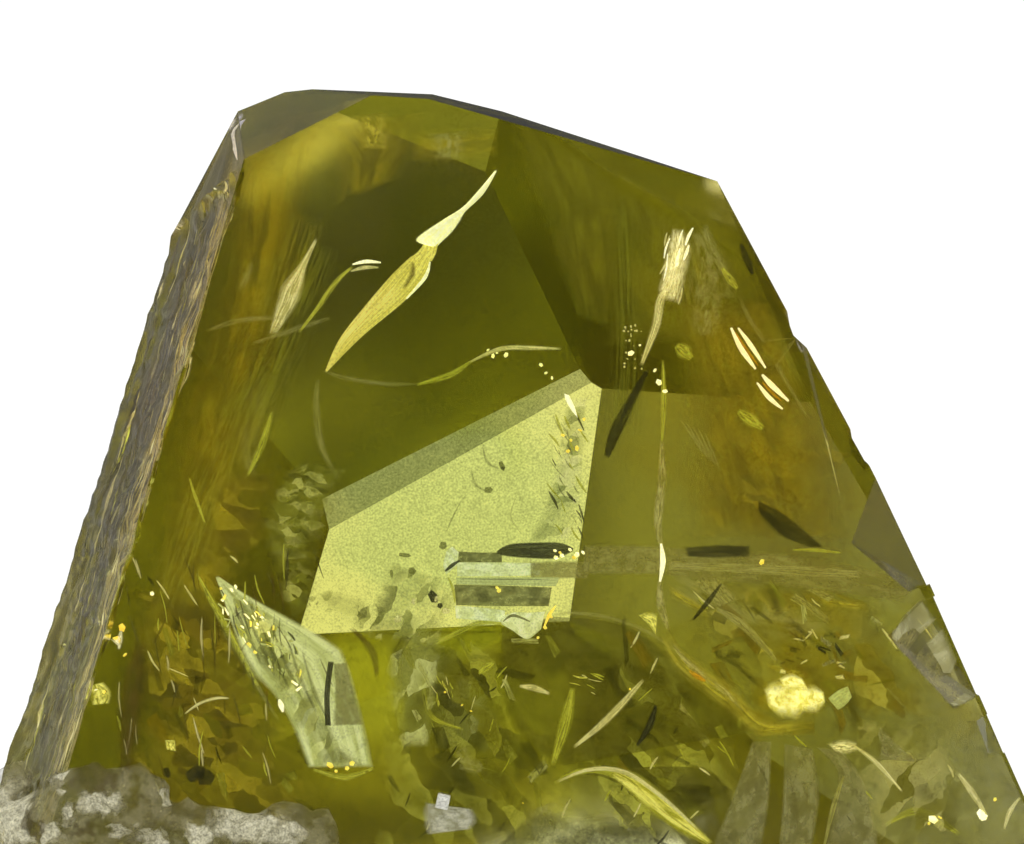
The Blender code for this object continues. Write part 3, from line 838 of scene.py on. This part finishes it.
# White feather, double streak and the small marks around them in the right half
rightDice = random.Random(7)
feathers = {
    "parts": (
        ("sheet", "feather", [(672, 228), (666, 248), (662, 268), (656, 300)],
         [(684, 230), (693, 250), (690, 270), (682, 306)], (1.2, 1.6, 0.3), (8, 24)),
        ("sheet", "feather", [(668, 240), (664, 262), (656, 292)], [(690, 244), (688, 266), (676, 296)],
         (1.0, 1.3, 0.3), (8, 24)),
        *strokes(rightDice, 16, ("silk", "white", "silk"), (664, 690), (234, 300), 105, 22, 3, 0.9),
        # the tail that turns dark
        ("line", "silk", [(672, 282), (661, 300), (656, 327), (641, 367)], 11, (1.5, 1.9, 0)),
        ("line", "veil", [(705, 224), (713, 250), (731, 282)], 16, (1.5, 1.7, 0)),
        ("line", "lime", [(722, 268), (730, 280), (738, 290)], 10, (1.4, 1.5, 0)),
        ("line", "veil", [(738, 294), (750, 320), (766, 345), (785, 380), (810, 422)], 8, (1.5, 1.7, 0)),
        ("sheet", "veil", [(690, 232), (684, 270), (672, 305)], [(706, 228), (735, 262), (748, 300)],
         (2.0, 2.2, 0)),
        ("line", "shade", [(648, 370), (617, 430), (606, 460)], 15, (1.6, 2.0, 0)),
        # the double streak, with a rusty line in each
        ("line", "white", [(731, 328), (742, 350), (756, 370)], 6, (1.0, 1.1, 0)),
        ("line", "white", [(738, 328), (751, 346), (766, 369)], 5, (0.95, 1.05, 0)),
        ("line", "rust", [(735, 332), (746, 349), (759, 367)], 4, (0.8, 0.9, 0)),
        ("line", "white", [(762, 375), (772, 386), (789, 402)], 6, (1.0, 1.1, 0)),
        ("line", "white", [(757, 383), (769, 398), (783, 410)], 5, (0.95, 1.05, 0)),
        ("line", "rust", [(762, 382), (771, 392), (782, 402)], 4, (0.8, 0.9, 0)),
        ("line", "shade", [(741, 244), (747, 258), (753, 276)], 11, (1.4, 1.5, 0)),
        ("line", "lime", [(676, 346), (684, 352), (692, 360)], 18, 1.8),
        ("line", "lime", [(738, 412), (750, 420), (764, 430)], 16, 1.8),
        *[("line", "veil",
           [(680 + n * 6, 420 + n * 3), (694 + n * 5, 440 + n * 4), (704 + n * 4, 456 + n * 4)], 4, 1.8)
          for n in range(5)],
        ("dots", "glint", [(631, 354), (640, 346), (659, 383), (665, 392), (655, 371)], 2.8, 1.3),
        ("dots", "silk", scatter(rightDice, 24, (624, 645), (325, 370)), 1.3, 1.6, 4),
        # veils of colour far back
        ("sheet", "haze", [(572, 138), (580, 230), (592, 350)], [(716, 182), (756, 250), (800, 340)],
         (2.7, 2.7, 0.3), (8, 24)),
        ("sheet", "hazeWarm", [(668, 300), (674, 390), (684, 540)], [(780, 300), (820, 390), (855, 540)],
         2.0, (8, 24)),
        ("sheet", "veil", [(694, 290), (686, 310), (690, 336)], [(728, 296), (730, 316), (716, 340)], 1.9,
         (8, 16)),
        ("sheet", "brush", [(650, 215), (668, 330), (690, 440)], [(710, 215), (750, 330), (800, 430)],
         (2.2, 2.2, 0.3), (8, 24)),
        ("sheet", "brushGreen", [(602, 190), (606, 330), (600, 440)],
         [(642, 190), (652, 330), (650, 440)], (2.6, 2.6, 0.3), (8, 24)),
        ("sheet", "brokenAmber", [(680, 300), (690, 420), (690, 540)],
         [(770, 300), (820, 420), (850, 540)], 2.5, (8, 24)),
    ),
}
buildInside("rightFeathers", feathers, rightDice)

# Broken facets in the lower right corner, with the pale yellow flash among them
lowerRight = {
    "parts": (
        ("line", "shade", [(722, 584), (707, 604), (692, 622)], 6, 1.4),
        ("line", "bandPale", [(716, 609), (744, 627), (777, 662)], 10, 1.4),
        # the pale yellow flash
        ("sheet", "blob", [(763, 690), (770, 681), (790, 677), (808, 688)],
         [(768, 708), (778, 718), (797, 723), (814, 706)], (1.2, 1.3, 0.2), (8, 16), 0.02, False),
        ("sheet", "blob", [(778, 679), (790, 673), (802, 678)], [(784, 688), (796, 690), (810, 692)],
         (1.1, 1.2, 0.2), (6, 8)),
        ("sheet", "blob", [(798, 690), (812, 684), (824, 692)], [(802, 712), (816, 716), (826, 704)],
         (1.25, 1.3, 0.2), (6, 8)),
        ("sheet", "gold", [(748, 680), (775, 664), (810, 670)], [(752, 726), (795, 740), (830, 716)], 1.5,
         (8, 12)),
        ("sheet", "pale", [(828, 699), (838, 691), (848, 687)], [(838, 711), (846, 706), (852, 698)],
         (1.2, 1.3, 0), (4, 6)),
        *shards(rightDice, 34, ("silk", "bronze", "shardWarm", "shardDark", "hazeWarm"), (782, 846),
                (632, 688), 20, 9, 1.3),
        *shards(rightDice, 6, ("greyFacet", "steel"), (820, 846), (640, 664), 10, 9, 1.2),
        # two grey facets at the edge: sheets just behind the cut facets paint their grey sheen, a painted
        # reflection
        ("sheet", "greyFacet", [(893, 634), (908, 655)], [(921, 607), (938, 618)], (0.25, 0.25, 1.3),
         (4, 6), 0.02, False),
        ("sheet", "greyFacet", [(914, 661), (954, 704)], [(944, 627), (972, 692)], (0.25, 0.25, 1.2),
         (4, 8), 0.02, False),
        ("sheet", "brokenGold", [(672, 580), (700, 640), (740, 700)],
         [(860, 590), (880, 650), (900, 720)], 2.6, (8, 16)),
        ("sheet", "feather", [(826, 744), (843, 739), (858, 743)], [(836, 753), (846, 756), (857, 752)],
         1.0, (4, 6)),
        ("line", "silk", [(852, 745), (876, 763), (903, 793)], 6, 1.0),
        ("sheet", "greyFacet", [(880, 727), (895, 742), (918, 763)], [(878, 735), (880, 748), (878, 760)],
         1.2),
        ("line", "shade", [(886, 768), (910, 782), (934, 802)], 26, 1.5),
        # upright grey panels at the foot
        ("sheet", "greyFacet", [(752, 742), (735, 790), (712, 846)], [(772, 742), (770, 800), (762, 850)],
         1.6),
        ("sheet", "greyFacet", [(784, 744), (782, 800), (778, 850)], [(814, 750), (820, 800), (812, 850)],
         (1.7, 1.7, 0.4)),
        ("sheet", "greyFacet", [(816, 748), (838, 778), (824, 850)], [(842, 750), (868, 790), (880, 850)],
         1.6),
        ("line", "bandPale", [(844, 776), (834, 806), (824, 848)], 6, 1.4),
        ("line", "lime", [(884, 826), (915, 812), (938, 821), (960, 836)], 12, 1.4),
        ("line", "silk", [(958, 774), (972, 793), (987, 817)], 8, 1.2),
        ("line", "silk", [(1020, 798), (1010, 812), (1004, 830)], 6, 1.0),
        ("dots", "glint", [(981, 815), (984, 818), (933, 820)], 4.0, 1.0),
        ("dots", "spark", [(995, 800), (929, 824), (940, 818)], 3.0, 1.0),
        # broken glass behind them
        ("sheet", "brokenGrey", [(840, 720), (850, 780), (860, 850)],
         [(940, 720), (975, 780), (1000, 850)], 1.3, (8, 16)),
        *shards(rightDice, 26, ("bandPale", "golden", "haze", "dusk", "hazeWarm"), (680, 900), (580, 740),
                30, 34, 2.0),
        ("sheet", "haze", [(497, 108), (530, 200), (575, 320)], [(600, 135), (622, 200), (612, 330)],
         (2.3, 2.3, 0.3), (8, 24)),
        ("sheet", "brokenGold", [(800, 600), (830, 660), (860, 720)],
         [(880, 600), (910, 660), (940, 720)], 1.7, (8, 16)),
        *shards(rightDice, 20, ("shardLight", "shardDark", "shardPale", "shardWarm"), (700, 900),
                (590, 740), 35, 18, 1.8),
        *strokes(rightDice, 24, ("silk", "lime", "dusk"), (700, 960), (600, 840), 50, 24, 2.5, 1.5),
    ),
}
buildInside("lowerRightFacets", lowerRight, rightDice)

# The dark mound low in the middle with its rim, arcs and the bright flash across it
moundDice = random.Random(21)
mound = {
    "parts": (
        ("line", "lime", [(408, 657), (441, 642), (478, 625), (501, 625), (532, 640)], 7, 2.2),
        ("line", "veil", [(532, 640), (554, 617), (586, 615), (619, 622), (651, 635), (684, 659)], 7,
         2.2),
        ("line", "lime", [(684, 659), (695, 678), (720, 691), (745, 712)], 6, 2.0),
        ("line", "lime", [(424, 676), (424, 695), (433, 719), (464, 731)], 7, 2.0),
        # the dark body, painted shade over the lower middle where the scoop behind would show bright
        ("sheet", "moundDark", [(500, 628), (500, 680), (515, 735), (560, 768)],
         [(556, 618), (632, 627), (694, 676), (760, 732)], 2.0, (12, 24)),
        ("sheet", "moundDark", [(560, 775), (600, 778), (640, 800), (690, 850)],
         [(650, 768), (700, 770), (730, 790), (740, 850)], 2.0, (12, 24)),
        ("line", "silk", [(644, 680), (623, 704), (601, 726), (573, 749)], 9, (1.5, 1.7, 0)),
        ("line", "lime", [(573, 688), (566, 722), (552, 768)], 15, 1.8),
        ("line", "steel", [(656, 706), (650, 726), (637, 747)], 8, 1.5),
        # the bright flash across it
        ("sheet", "lime", [(551, 784), (575, 770), (603, 768), (636, 772), (668, 796), (708, 836)],
         [(554, 786), (577, 777), (601, 776), (624, 790), (644, 812), (690, 842)], (1.3, 1.5, 0.3),
         (8, 40)),
        ("line", "silk", [(556, 783), (590, 770), (625, 773), (660, 796), (700, 832)], 6, (1.1, 1.2, 0)),
        ("line", "flash", [(612, 773), (634, 786), (658, 806), (684, 826), (712, 846)], 20,
         (1.3, 1.4, 0)),
        ("sheet", "brokenPale", [(385, 655), (400, 700), (420, 750)],
         [(470, 650), (490, 700), (520, 760)], 2.2, (8, 16)),
        ("line", "veil", [(562, 825), (598, 817), (632, 818)], 8, 1.6),
        ("line", "silk", [(519, 687), (534, 689), (550, 695)], 8, 1.6),
        ("line", "lime", [(478, 675), (487, 668), (494, 664)], 10, 1.6),
        *strokes(moundDice, 9, ("lime", "silk", "flash"), (434, 456), (680, 710), 70, 13, 2.2, 1.6),
        *strokes(moundDice, 8, ("lime", "silk", "flash"), (574, 599), (674, 696), 20, 13, 2.2, 1.6),
        ("dots", "spark", [(462, 706), (471, 712), (445, 693), (523, 804), (630, 690)], 1.8, 1.4),
        ("dots", "veil", [(471, 767), (546, 818), (466, 760)], 14, 1.8),
        ("sheet", "stonePatch", [(424, 802), (422, 818), (426, 835)],
         [(474, 809), (478, 820), (472, 829)], 0.12, (8, 8)),
        # broken glass behind it
        ("sheet", "moss", [(385, 655), (380, 720), (400, 830)], [(520, 650), (560, 720), (560, 840)], 2.4,
         (8, 16)),
        ("sheet", "brokenOlive", [(380, 640), (375, 740), (370, 850)],
         [(560, 640), (570, 740), (560, 850)], 2.1, (8, 16)),
        ("sheet", "brokenOlive", [(540, 630), (560, 740), (560, 850)],
         [(690, 650), (740, 740), (760, 850)], 2.3, (8, 16)),
        ("sheet", "brokenPale", [(375, 640), (385, 690), (400, 750)],
         [(450, 630), (440, 690), (430, 750)], 1.9, (8, 16)),
        *shards(moundDice, 20, ("shardLight", "shardDark", "shardPale", "shardDark"), (385, 560),
                (640, 845), 60, 20, 1.8),
        *shards(moundDice, 16, ("shardLight", "shardDark", "shardWarm", "shardDark"), (550, 740),
                (640, 845), 50, 24, 2.0),
        *strokes(moundDice, 26, ("silk", "lime", "shade"), (400, 700), (640, 840), 120, 18, 2.5, 1.7),
    ),
}
buildInside("moundFracture", mound, moundDice)

# The second pale window, lower left, with its spike, grey facet and sparkling rim
lowDice = random.Random(5)
lowWindow = {
    "parts": (
        # a pale sheet with light of its own paints the light that the cleavage plane reflects: painted
        # reflection
        ("sheet", "lowPale", [(215, 577), (234, 636), (250, 672), (274, 697), (291, 726), (308, 769)],
         [(217, 577), (252, 599), (331, 642), (347, 661), (362, 715), (374, 769)], (2.0, 1.6, 0.5),
         (12, 30)),
        ("sheet", "scales", [(216, 580), (238, 640), (275, 695)], [(250, 600), (300, 640), (325, 700)],
         (1.5, 1.4, 0), (8, 16)),
        ("sheet", "scales", [(275, 695), (296, 730), (310, 768)], [(320, 690), (340, 740), (370, 768)],
         (1.5, 1.4, 0), (8, 16)),
        ("line", "steel", [(331, 662), (327, 695), (328, 727)], 6, 1.2, (2, 12), False),
        ("sheet", "greyBand", [(333, 664), (334, 695), (332, 727)], [(347, 663), (357, 700), (366, 726)],
         1.3),
        ("line", "bronze", [(350, 628), (372, 652), (377, 680)], 12, 1.4),
        # the sparkling rim
        *shards(lowDice, 90, ("glint", "shade", "spark", "lime", "dusk", "pale"), (220, 300), (584, 690),
                60, 5, 1.2, lambda x, y: abs(y - 598 - (x - 222) * 0.95) < 26),
        ("line", "white", [(279, 700), (281, 706), (283, 713)], 6, 1.2),
        ("dots", "spark", [(336, 772), (347, 769), (352, 764), (330, 766)], 3.4, 1.2),
        ("line", "lime", [(374, 769), (345, 778), (312, 770)], 8, 1.3),
        *[("line", "dusk", [(232 + n * 14, 606 + n * 9), (250 + n * 13, 640 + n * 11),
                            (262 + n * 14, 668 + n * 12)], 6, 1.3) for n in range(6)],
        ("line", "silk", [(184, 715), (200, 704), (216, 699), (230, 699)], 4, 1.2),
        *[("line", lowDice.choice(("veil", "lime", "dusk")),
           [(196 + n * 4, 574 + n * 9), (222 + n * 5, 620 + n * 10), (250 + n * 5, 676 + n * 8)], 8,
           1.9) for n in range(7)],
    ),
}
buildInside("lowerLeftWindow", lowWindow, lowDice)

# Glints, brown streaks and pockets just behind the left edge and above the rock grains
leftDice = random.Random(15)
leftMarks = {
    "parts": (
        ("line", "bronze", [(142, 640), (132, 700), (124, 790)], 34, 1.2),
        ("sheet", "flash", [(86, 686), (88, 694), (92, 706)], [(104, 682), (112, 692), (110, 704)], 0.6,
         (8, 8)),
        ("sheet", "flash", [(164, 740), (166, 750)], [(176, 740), (177, 752)], 0.6, (4, 6)),
        # fine streaks, partly painted highlights on raised streaks and painted shade in grooves
        *strokes(leftDice, 70, ("bronze", "ridge", "furrow", "dusk", "lime"), (118, 290), (560, 770), 82,
                 34, 2.5, 1.2),
        ("dots", "spark", [(98, 696), (104, 692), (170, 747), (122, 628), (118, 640), (125, 655)], 4.0,
         0.5),
        ("dots", "glint", [(152, 594), (96, 690)], 3.4, 0.5),
        # warm patches, and a pale violet sliver down the left edge: a painted highlight where a thin facet
        # catches the light
        ("sheet", "gold", [(238, 158), (208, 300), (172, 420)], [(320, 128), (300, 300), (270, 440)],
         (2.4, 2.8, 0.6), (8, 24)),
        ("sheet", "gold", [(180, 380), (150, 520), (118, 660)], [(290, 380), (260, 520), (230, 660)],
         (2.4, 2.2, 0.6), (8, 24)),
        ("sheet", "lilac", [(237, 117), (237, 135), (240, 160)], [(246, 112), (245, 132), (243, 161)],
         (2.55, 0.95, 0), (4, 12)),
        ("sheet", "golden", [(346, 116), (350, 134), (356, 150)], [(390, 112), (396, 132), (394, 152)],
         (1.6, 1.8, 0), (6, 8)),
        ("sheet", "veil", [(424, 134), (428, 160)], [(472, 130), (468, 162)], (1.8, 1.9, 0), (6, 8)),
        *[("line", "silk", [(230 - n * 5, 184 + n * 7), (222 - n * 4, 222), (213 - n * 3, 260 - n * 4)], 3,
           (0.4, 0.6, 0)) for n in range(4)],
        ("sheet", "gold", [(290, 130), (320, 160), (330, 210)], [(440, 108), (430, 140), (400, 180)],
         (1.8, 2.2, 0), (8, 16)),
        ("sheet", "gold", [(410, 128), (440, 126), (500, 124)], [(410, 166), (440, 168), (500, 160)],
         (2.0, 2.2, 0), (8, 16)),
        ("dots", "shade", [(167, 773), (196, 774), (206, 778)], 12.0, 0.9),
        # brush-like streaks and broken glass far back
        ("sheet", "brush", [(290, 200), (235, 330), (190, 460)], [(330, 220), (310, 340), (270, 480)],
         (2.0, 2.2, 0.4), (8, 24)),
        ("sheet", "brushGreen", [(300, 230), (255, 330), (200, 420)],
         [(345, 250), (320, 340), (290, 430)], (1.7, 1.9, 0.4), (8, 24)),
        ("sheet", "brush", [(215, 400), (170, 500), (140, 620)], [(270, 400), (235, 510), (200, 620)],
         (2.0, 2.0, 0.4), (8, 24)),
        ("sheet", "brokenAmber", [(130, 590), (115, 700), (100, 830)],
         [(225, 590), (290, 700), (330, 840)], 2.1, (8, 24)),
        ("sheet", "brokenAmber", [(200, 470), (170, 540), (150, 600)],
         [(290, 470), (270, 540), (220, 600)], 2.3, (8, 24)),
        *shards(leftDice, 24, ("shardLight", "shardDark", "shardWarm"), (130, 330), (600, 800), 75, 18,
                1.9),
        *strokes(leftDice, 24, ("lime", "bronze", "shade", "silk"), (130, 330), (560, 800), 60, 26, 2.5,
                 1.6),
    ),
}
buildInside("leftMarks", leftMarks, leftDice)

# Streaks, dark grooves with painted shade, raised streaks with painted highlights, and glints on the etched
# left face, which recedes from the front face's edge
leftFace = {
    "frontTop": (243.7, 159),
    "frontFoot": (35.5, 868),
    "backTop": (190.8, 168),
    "backFoot": (-29.8, 868),
    "recede": 3.8,            # millimetres from the front rim to the back rim
    "below": 0.45,            # millimetres that the streaks lie under the surface
    "count": 90,
    # streak finishes, with painted shade in grooves and painted highlights on raised streaks among them
    "kinds": ("ridge", "furrow", "silk", "furrow", "bronze", "furrow", "lime"),
    # two sheets of fibres side by side: where each starts across the face, and its finish
    "sheets": ((0.04, "fibre"), (0.42, "fibreDark")),
    "sheetWide": 0.44,
    "sheetLong": (0.02, 0.98),
    "markBelow": 0.3,
    # torn bits that the photo shows near the face: column, row, size
    "marks": (
        (160, 290, 12), (172, 318, 12), (175, 334, 14), (166, 345, 10), (185, 372, 16), (167, 407, 12),
        (205, 268, 10), (182, 262, 8), (147, 414, 12), (139, 440, 10), (116, 505, 12), (120, 640, 10),
        (190, 350, 9), (210, 225, 12), (224, 190, 9), (100, 560, 8), (92, 620, 9),
    ),
}


def onLeftFace(across, along):
    front = Vector(leftFace["frontTop"]).lerp(Vector(leftFace["frontFoot"]), along)
    back = Vector(leftFace["backTop"]).lerp(Vector(leftFace["backFoot"]), along)
    return tuple(front.lerp(back, across)), leftFace["recede"] * across + leftFace["below"]


def columnAt(top, foot, row):
    # where a rim of the left face crosses a row
    share = (row - leftFace[top][1]) / (leftFace[foot][1] - leftFace[top][1])
    return Vector(leftFace[top]).lerp(Vector(leftFace[foot]), share).x


def buildLeftStreaks():
    dice = random.Random(31)
    parts = []
    for index in range(leftFace["count"]):
        across, start = dice.uniform(0.06, 0.8), dice.uniform(0.06, 0.9)
        end = start + dice.uniform(0.03, 0.16)
        drift = dice.uniform(-0.06, 0.06)
        places = [onLeftFace(across + drift * share, start + (end - start) * share) for share in (0, 0.5, 1)]
        depth = (places[0][1], places[-1][1], 0)
        parts.append(("line", dice.choice(leftFace["kinds"]), [place for place, below in places],
                      dice.uniform(3, 10), depth, (2, 8)))
    start, end = leftFace["sheetLong"]
    for across, kind in leftFace["sheets"]:
        rows = [start + (end - start) * share for share in (0, 0.33, 0.67, 1)]
        near = [onLeftFace(across, row) for row in rows]
        far = [onLeftFace(across + leftFace["sheetWide"], row) for row in rows]
        below, slope = near[0][1], far[0][1] - near[0][1]
        parts.append(("sheet", kind, [place for place, low in near], [place for place, low in far],
                      (below, below, slope), (6, 40)))
    for column, row, size in leftFace["marks"]:
        front, back = columnAt("frontTop", "frontFoot", row), columnAt("backTop", "backFoot", row)
        below = leftFace["recede"] * max(0, (front - column) / (front - back)) + leftFace["markBelow"]
        lean = dice.uniform(-6, 6)
        line = [(column + lean, row - size), (column, row), (column - lean, row + size)]
        parts.append(("line", "feather", line, size * 0.7, below, (4, 8)))
    buildInside("leftFaceStreaks", {"parts": parts}, dice)


buildLeftStreaks()

# Rock grains on the foot: feldspar, mostly clear and stained olive and brown, with white patches
grains = {
    "crisp": 35,
    "pale": (0.56, 0.53, 0.36),
    "grey": (0.30, 0.27, 0.13),
    "olive": (0.17, 0.15, 0.05),
    "stain": (0.10, 0.075, 0.02),
    # white patches and dark pockets: column, row, wide, high
    "whites": (
        (14, 815, 24, 42), (50, 833, 13, 14), (57, 779, 10, 10), (66, 811, 8, 13), (100, 803, 27, 12),
        (168, 796, 8, 7), (217, 788, 12, 6), (240, 822, 36, 24), (203, 835, 20, 14), (280, 830, 30, 18),
        (150, 838, 20, 10), (118, 828, 12, 10),
    ),
    "pockets": (
        (95, 777, 30, 24), (37, 822, 8, 24), (168, 773, 11, 11), (201, 775, 15, 11), (84, 829, 14, 7),
    ),
}


def makeStone():
    material, tree, shader = newMaterial("feldsparStone")
    place = millimetres(tree)
    places = {0: wander(tree, place, scale=1.6, detail=2.0, reach=1.4)}
    masks = {}
    for kind in ("whites", "pockets"):
        masks[kind] = 0.0
        for column, row, wide, high in grains[kind]:
            mask = addZone(tree, places, column, row, wide, high, 0, 0.5)
            masks[kind] = addMath(tree, "MAXIMUM", mask, masks[kind])
    blotch = addNoise(tree, place, 1.3, 3.0, 0.6)
    fine = addNoise(tree, place, 6.0, 2.0, 0.6)
    tone = addMix(tree, addRange(tree, blotch, 0.4, 0.6), grains["olive"], grains["grey"])
    white = addMath(tree, "MULTIPLY", masks["whites"], addRange(tree, fine, 0.3, 0.6, 0.55, 1.0))
    tone = addMix(tree, white, tone, grains["pale"])
    tone = addMix(tree, masks["pockets"], tone, grains["stain"])
    tone = addMix(tree, 1.0, tone, addGrain(tree, place, 1.2), "MULTIPLY")
    tree.links.new(tone, shader.inputs["Base Color"])
    cover = addMath(tree, "MULTIPLY_ADD", white, 0.6, addRange(tree, blotch, 0.4, 0.6, 0.2, 0.5))
    tree.links.new(cover, shader.inputs["Alpha"])
    shader.inputs["Roughness"].default_value = 0.5
    bump = addNode(tree, "Bump", {"Height": fine, "Strength": 0.4, "Distance": 0.08 * mm})
    tree.links.new(bump.outputs[0], shader.inputs["Normal"])
    return material


def makeWhiteGrain():
    material, tree, shader = newMaterial("whiteGrain")
    place = millimetres(tree)
    tone = addMix(tree, addNoise(tree, place, 4.0, 2.0), (0.9, 0.89, 0.84), (0.5, 0.5, 0.4))
    tone = addMix(tree, 1.0, tone, addGrain(tree, place, 1.0), "MULTIPLY")
    tree.links.new(tone, shader.inputs["Base Color"])
    shader.inputs["Roughness"].default_value = 0.5
    return material


def buildGrains():
    bm = nodeMesh("matrix_crust")
    bmesh.ops.recalc_face_normals(bm, faces=bm.faces[:])
    piece = placeMesh(bm, "matrixGrains")
    shadeFlatFacets(piece, grains["crisp"], makeStone())
    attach(piece, "root")
    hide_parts("matrix_crust")


# The single white grain stuck to the front
cube = {
    "place": (443, 801, 0.02),
    "size": 0.44 * mm,
    "bevel": 0.05 * mm,
    "turn": (12, 25),     # degrees to the right, then back
}


def buildCubeGrain():
    bm = bmesh.new()
    roll, tip = (math.radians(turn) for turn in cube["turn"])
    turned = Matrix.Rotation(roll, 4, "Y") @ Matrix.Rotation(tip, 4, "X")
    place = Matrix.Translation(spot(*cube["place"])) @ turned
    bmesh.ops.create_cube(bm, size=cube["size"], matrix=place)
    bmesh.ops.bevel(bm, geom=bm.edges[:], offset=cube["bevel"], segments=2, affect="EDGES",
                    profile=0.5, material=-1)
    piece = placeMesh(bm, "cubeGrain")
    piece.data.materials.append(makeWhiteGrain())
    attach(piece, "root")


buildGrains()
buildCubeGrain()
print("rock grains done")


# Camera at the photo's viewing angle, far enough away to keep the long lens of a close-up
camera = {
    "away": 1.0,
    "row": photo["high"] / 2,
    "column": photo["wide"] / 2,
    "sensor": 36.0,
}


def buildCamera():
    data = bpy.data.cameras.new("camera")
    data.sensor_width = camera["sensor"]
    data.lens = camera["sensor"] * camera["away"] / (photo["wide"] * photo["pixel"])
    data.clip_start = 0.05
    data.clip_end = 10.0
    made = bpy.data.objects.new("camera", data)
    bpy.context.scene.collection.objects.link(made)
    target = spot(camera["column"], camera["row"])
    made.location = target + Vector((0, -camera["away"], 0))
    made.rotation_euler = (math.pi / 2, 0, 0)
    bpy.context.scene.camera = made


# Soft white studio with dark cards behind the camera and where the crest and the left face mirror
studio = {
    "white": 1.05,
    "light": 1.2,
    # dark cards: direction, inner and outer edge in degrees, how much light is left
    "cards": (
        ((0, -1, 0.09), 9, 16, 0.05),
        ((0.04, 0.96, 0.26), 9, 13, 0.08),
        ((-0.52, 0.82, 0.25), 14, 27, 0.35),
        ((-0.35, 0.6, 0.72), 12, 22, 0.4),
        ((0.78, 0.13, 0.61), 8, 15, 0.3),
    ),
    "floorHalf": 100 * mm,
    "floorGap": 0.02 * mm,
    "floorTone": (0.9, 0.9, 0.89, 1),
    "bounces": 12,
    "clearBounces": 24,
}


def buildStudio():
    world = bpy.data.worlds.new("studio")
    world.use_nodes = True
    bpy.context.scene.world = world
    world.cycles.sampling_method = "NONE"
    tree = world.node_tree
    place = addNode(tree, "TexCoord").outputs["Generated"]
    light = studio["light"]
    for direction, inner, outer, left in studio["cards"]:
        facing = addDot(tree, place, Vector(direction).normalized())
        rim, core = math.cos(math.radians(outer)), math.cos(math.radians(inner))
        card = addRange(tree, facing, rim, core, 1.0, left)
        light = addMath(tree, "MULTIPLY", light, card)
    seen = addNode(tree, "LightPath").outputs["Is Camera Ray"]
    strength = addRange(tree, seen, 0.0, 1.0, 0.0, studio["white"], smooth=False)
    hidden = addMath(tree, "SUBTRACT", 1.0, seen)
    strength = addMath(tree, "MULTIPLY_ADD", hidden, light, strength)
    shown = tree.nodes["Background"]
    shown.inputs["Color"].default_value = (1, 1, 1, 1)
    tree.links.new(strength, shown.inputs["Strength"])


def buildFloor():
    bm = bmesh.new()
    bmesh.ops.create_grid(bm, x_segments=1, y_segments=1, size=studio["floorHalf"])
    bmesh.ops.translate(bm, verts=bm.verts[:], vec=(0, 0, -studio["floorGap"]))
    floor = placeMesh(bm, "floor")
    material, tree, shader = newMaterial("paleFloor")
    shader.inputs["Base Color"].default_value = studio["floorTone"]
    shader.inputs["Roughness"].default_value = 0.9
    shader.inputs["Specular IOR Level"].default_value = 0.1
    floor.data.materials.append(material)


buildCamera()
buildStudio()
buildFloor()

view = bpy.context.scene.view_settings
view.view_transform = "Standard"
cycles = bpy.context.scene.cycles
cycles.max_bounces = studio["bounces"]
cycles.transmission_bounces = studio["bounces"]
cycles.glossy_bounces = studio["bounces"]
cycles.transparent_max_bounces = studio["clearBounces"]
cycles.use_denoising = True
print("camera and studio done")
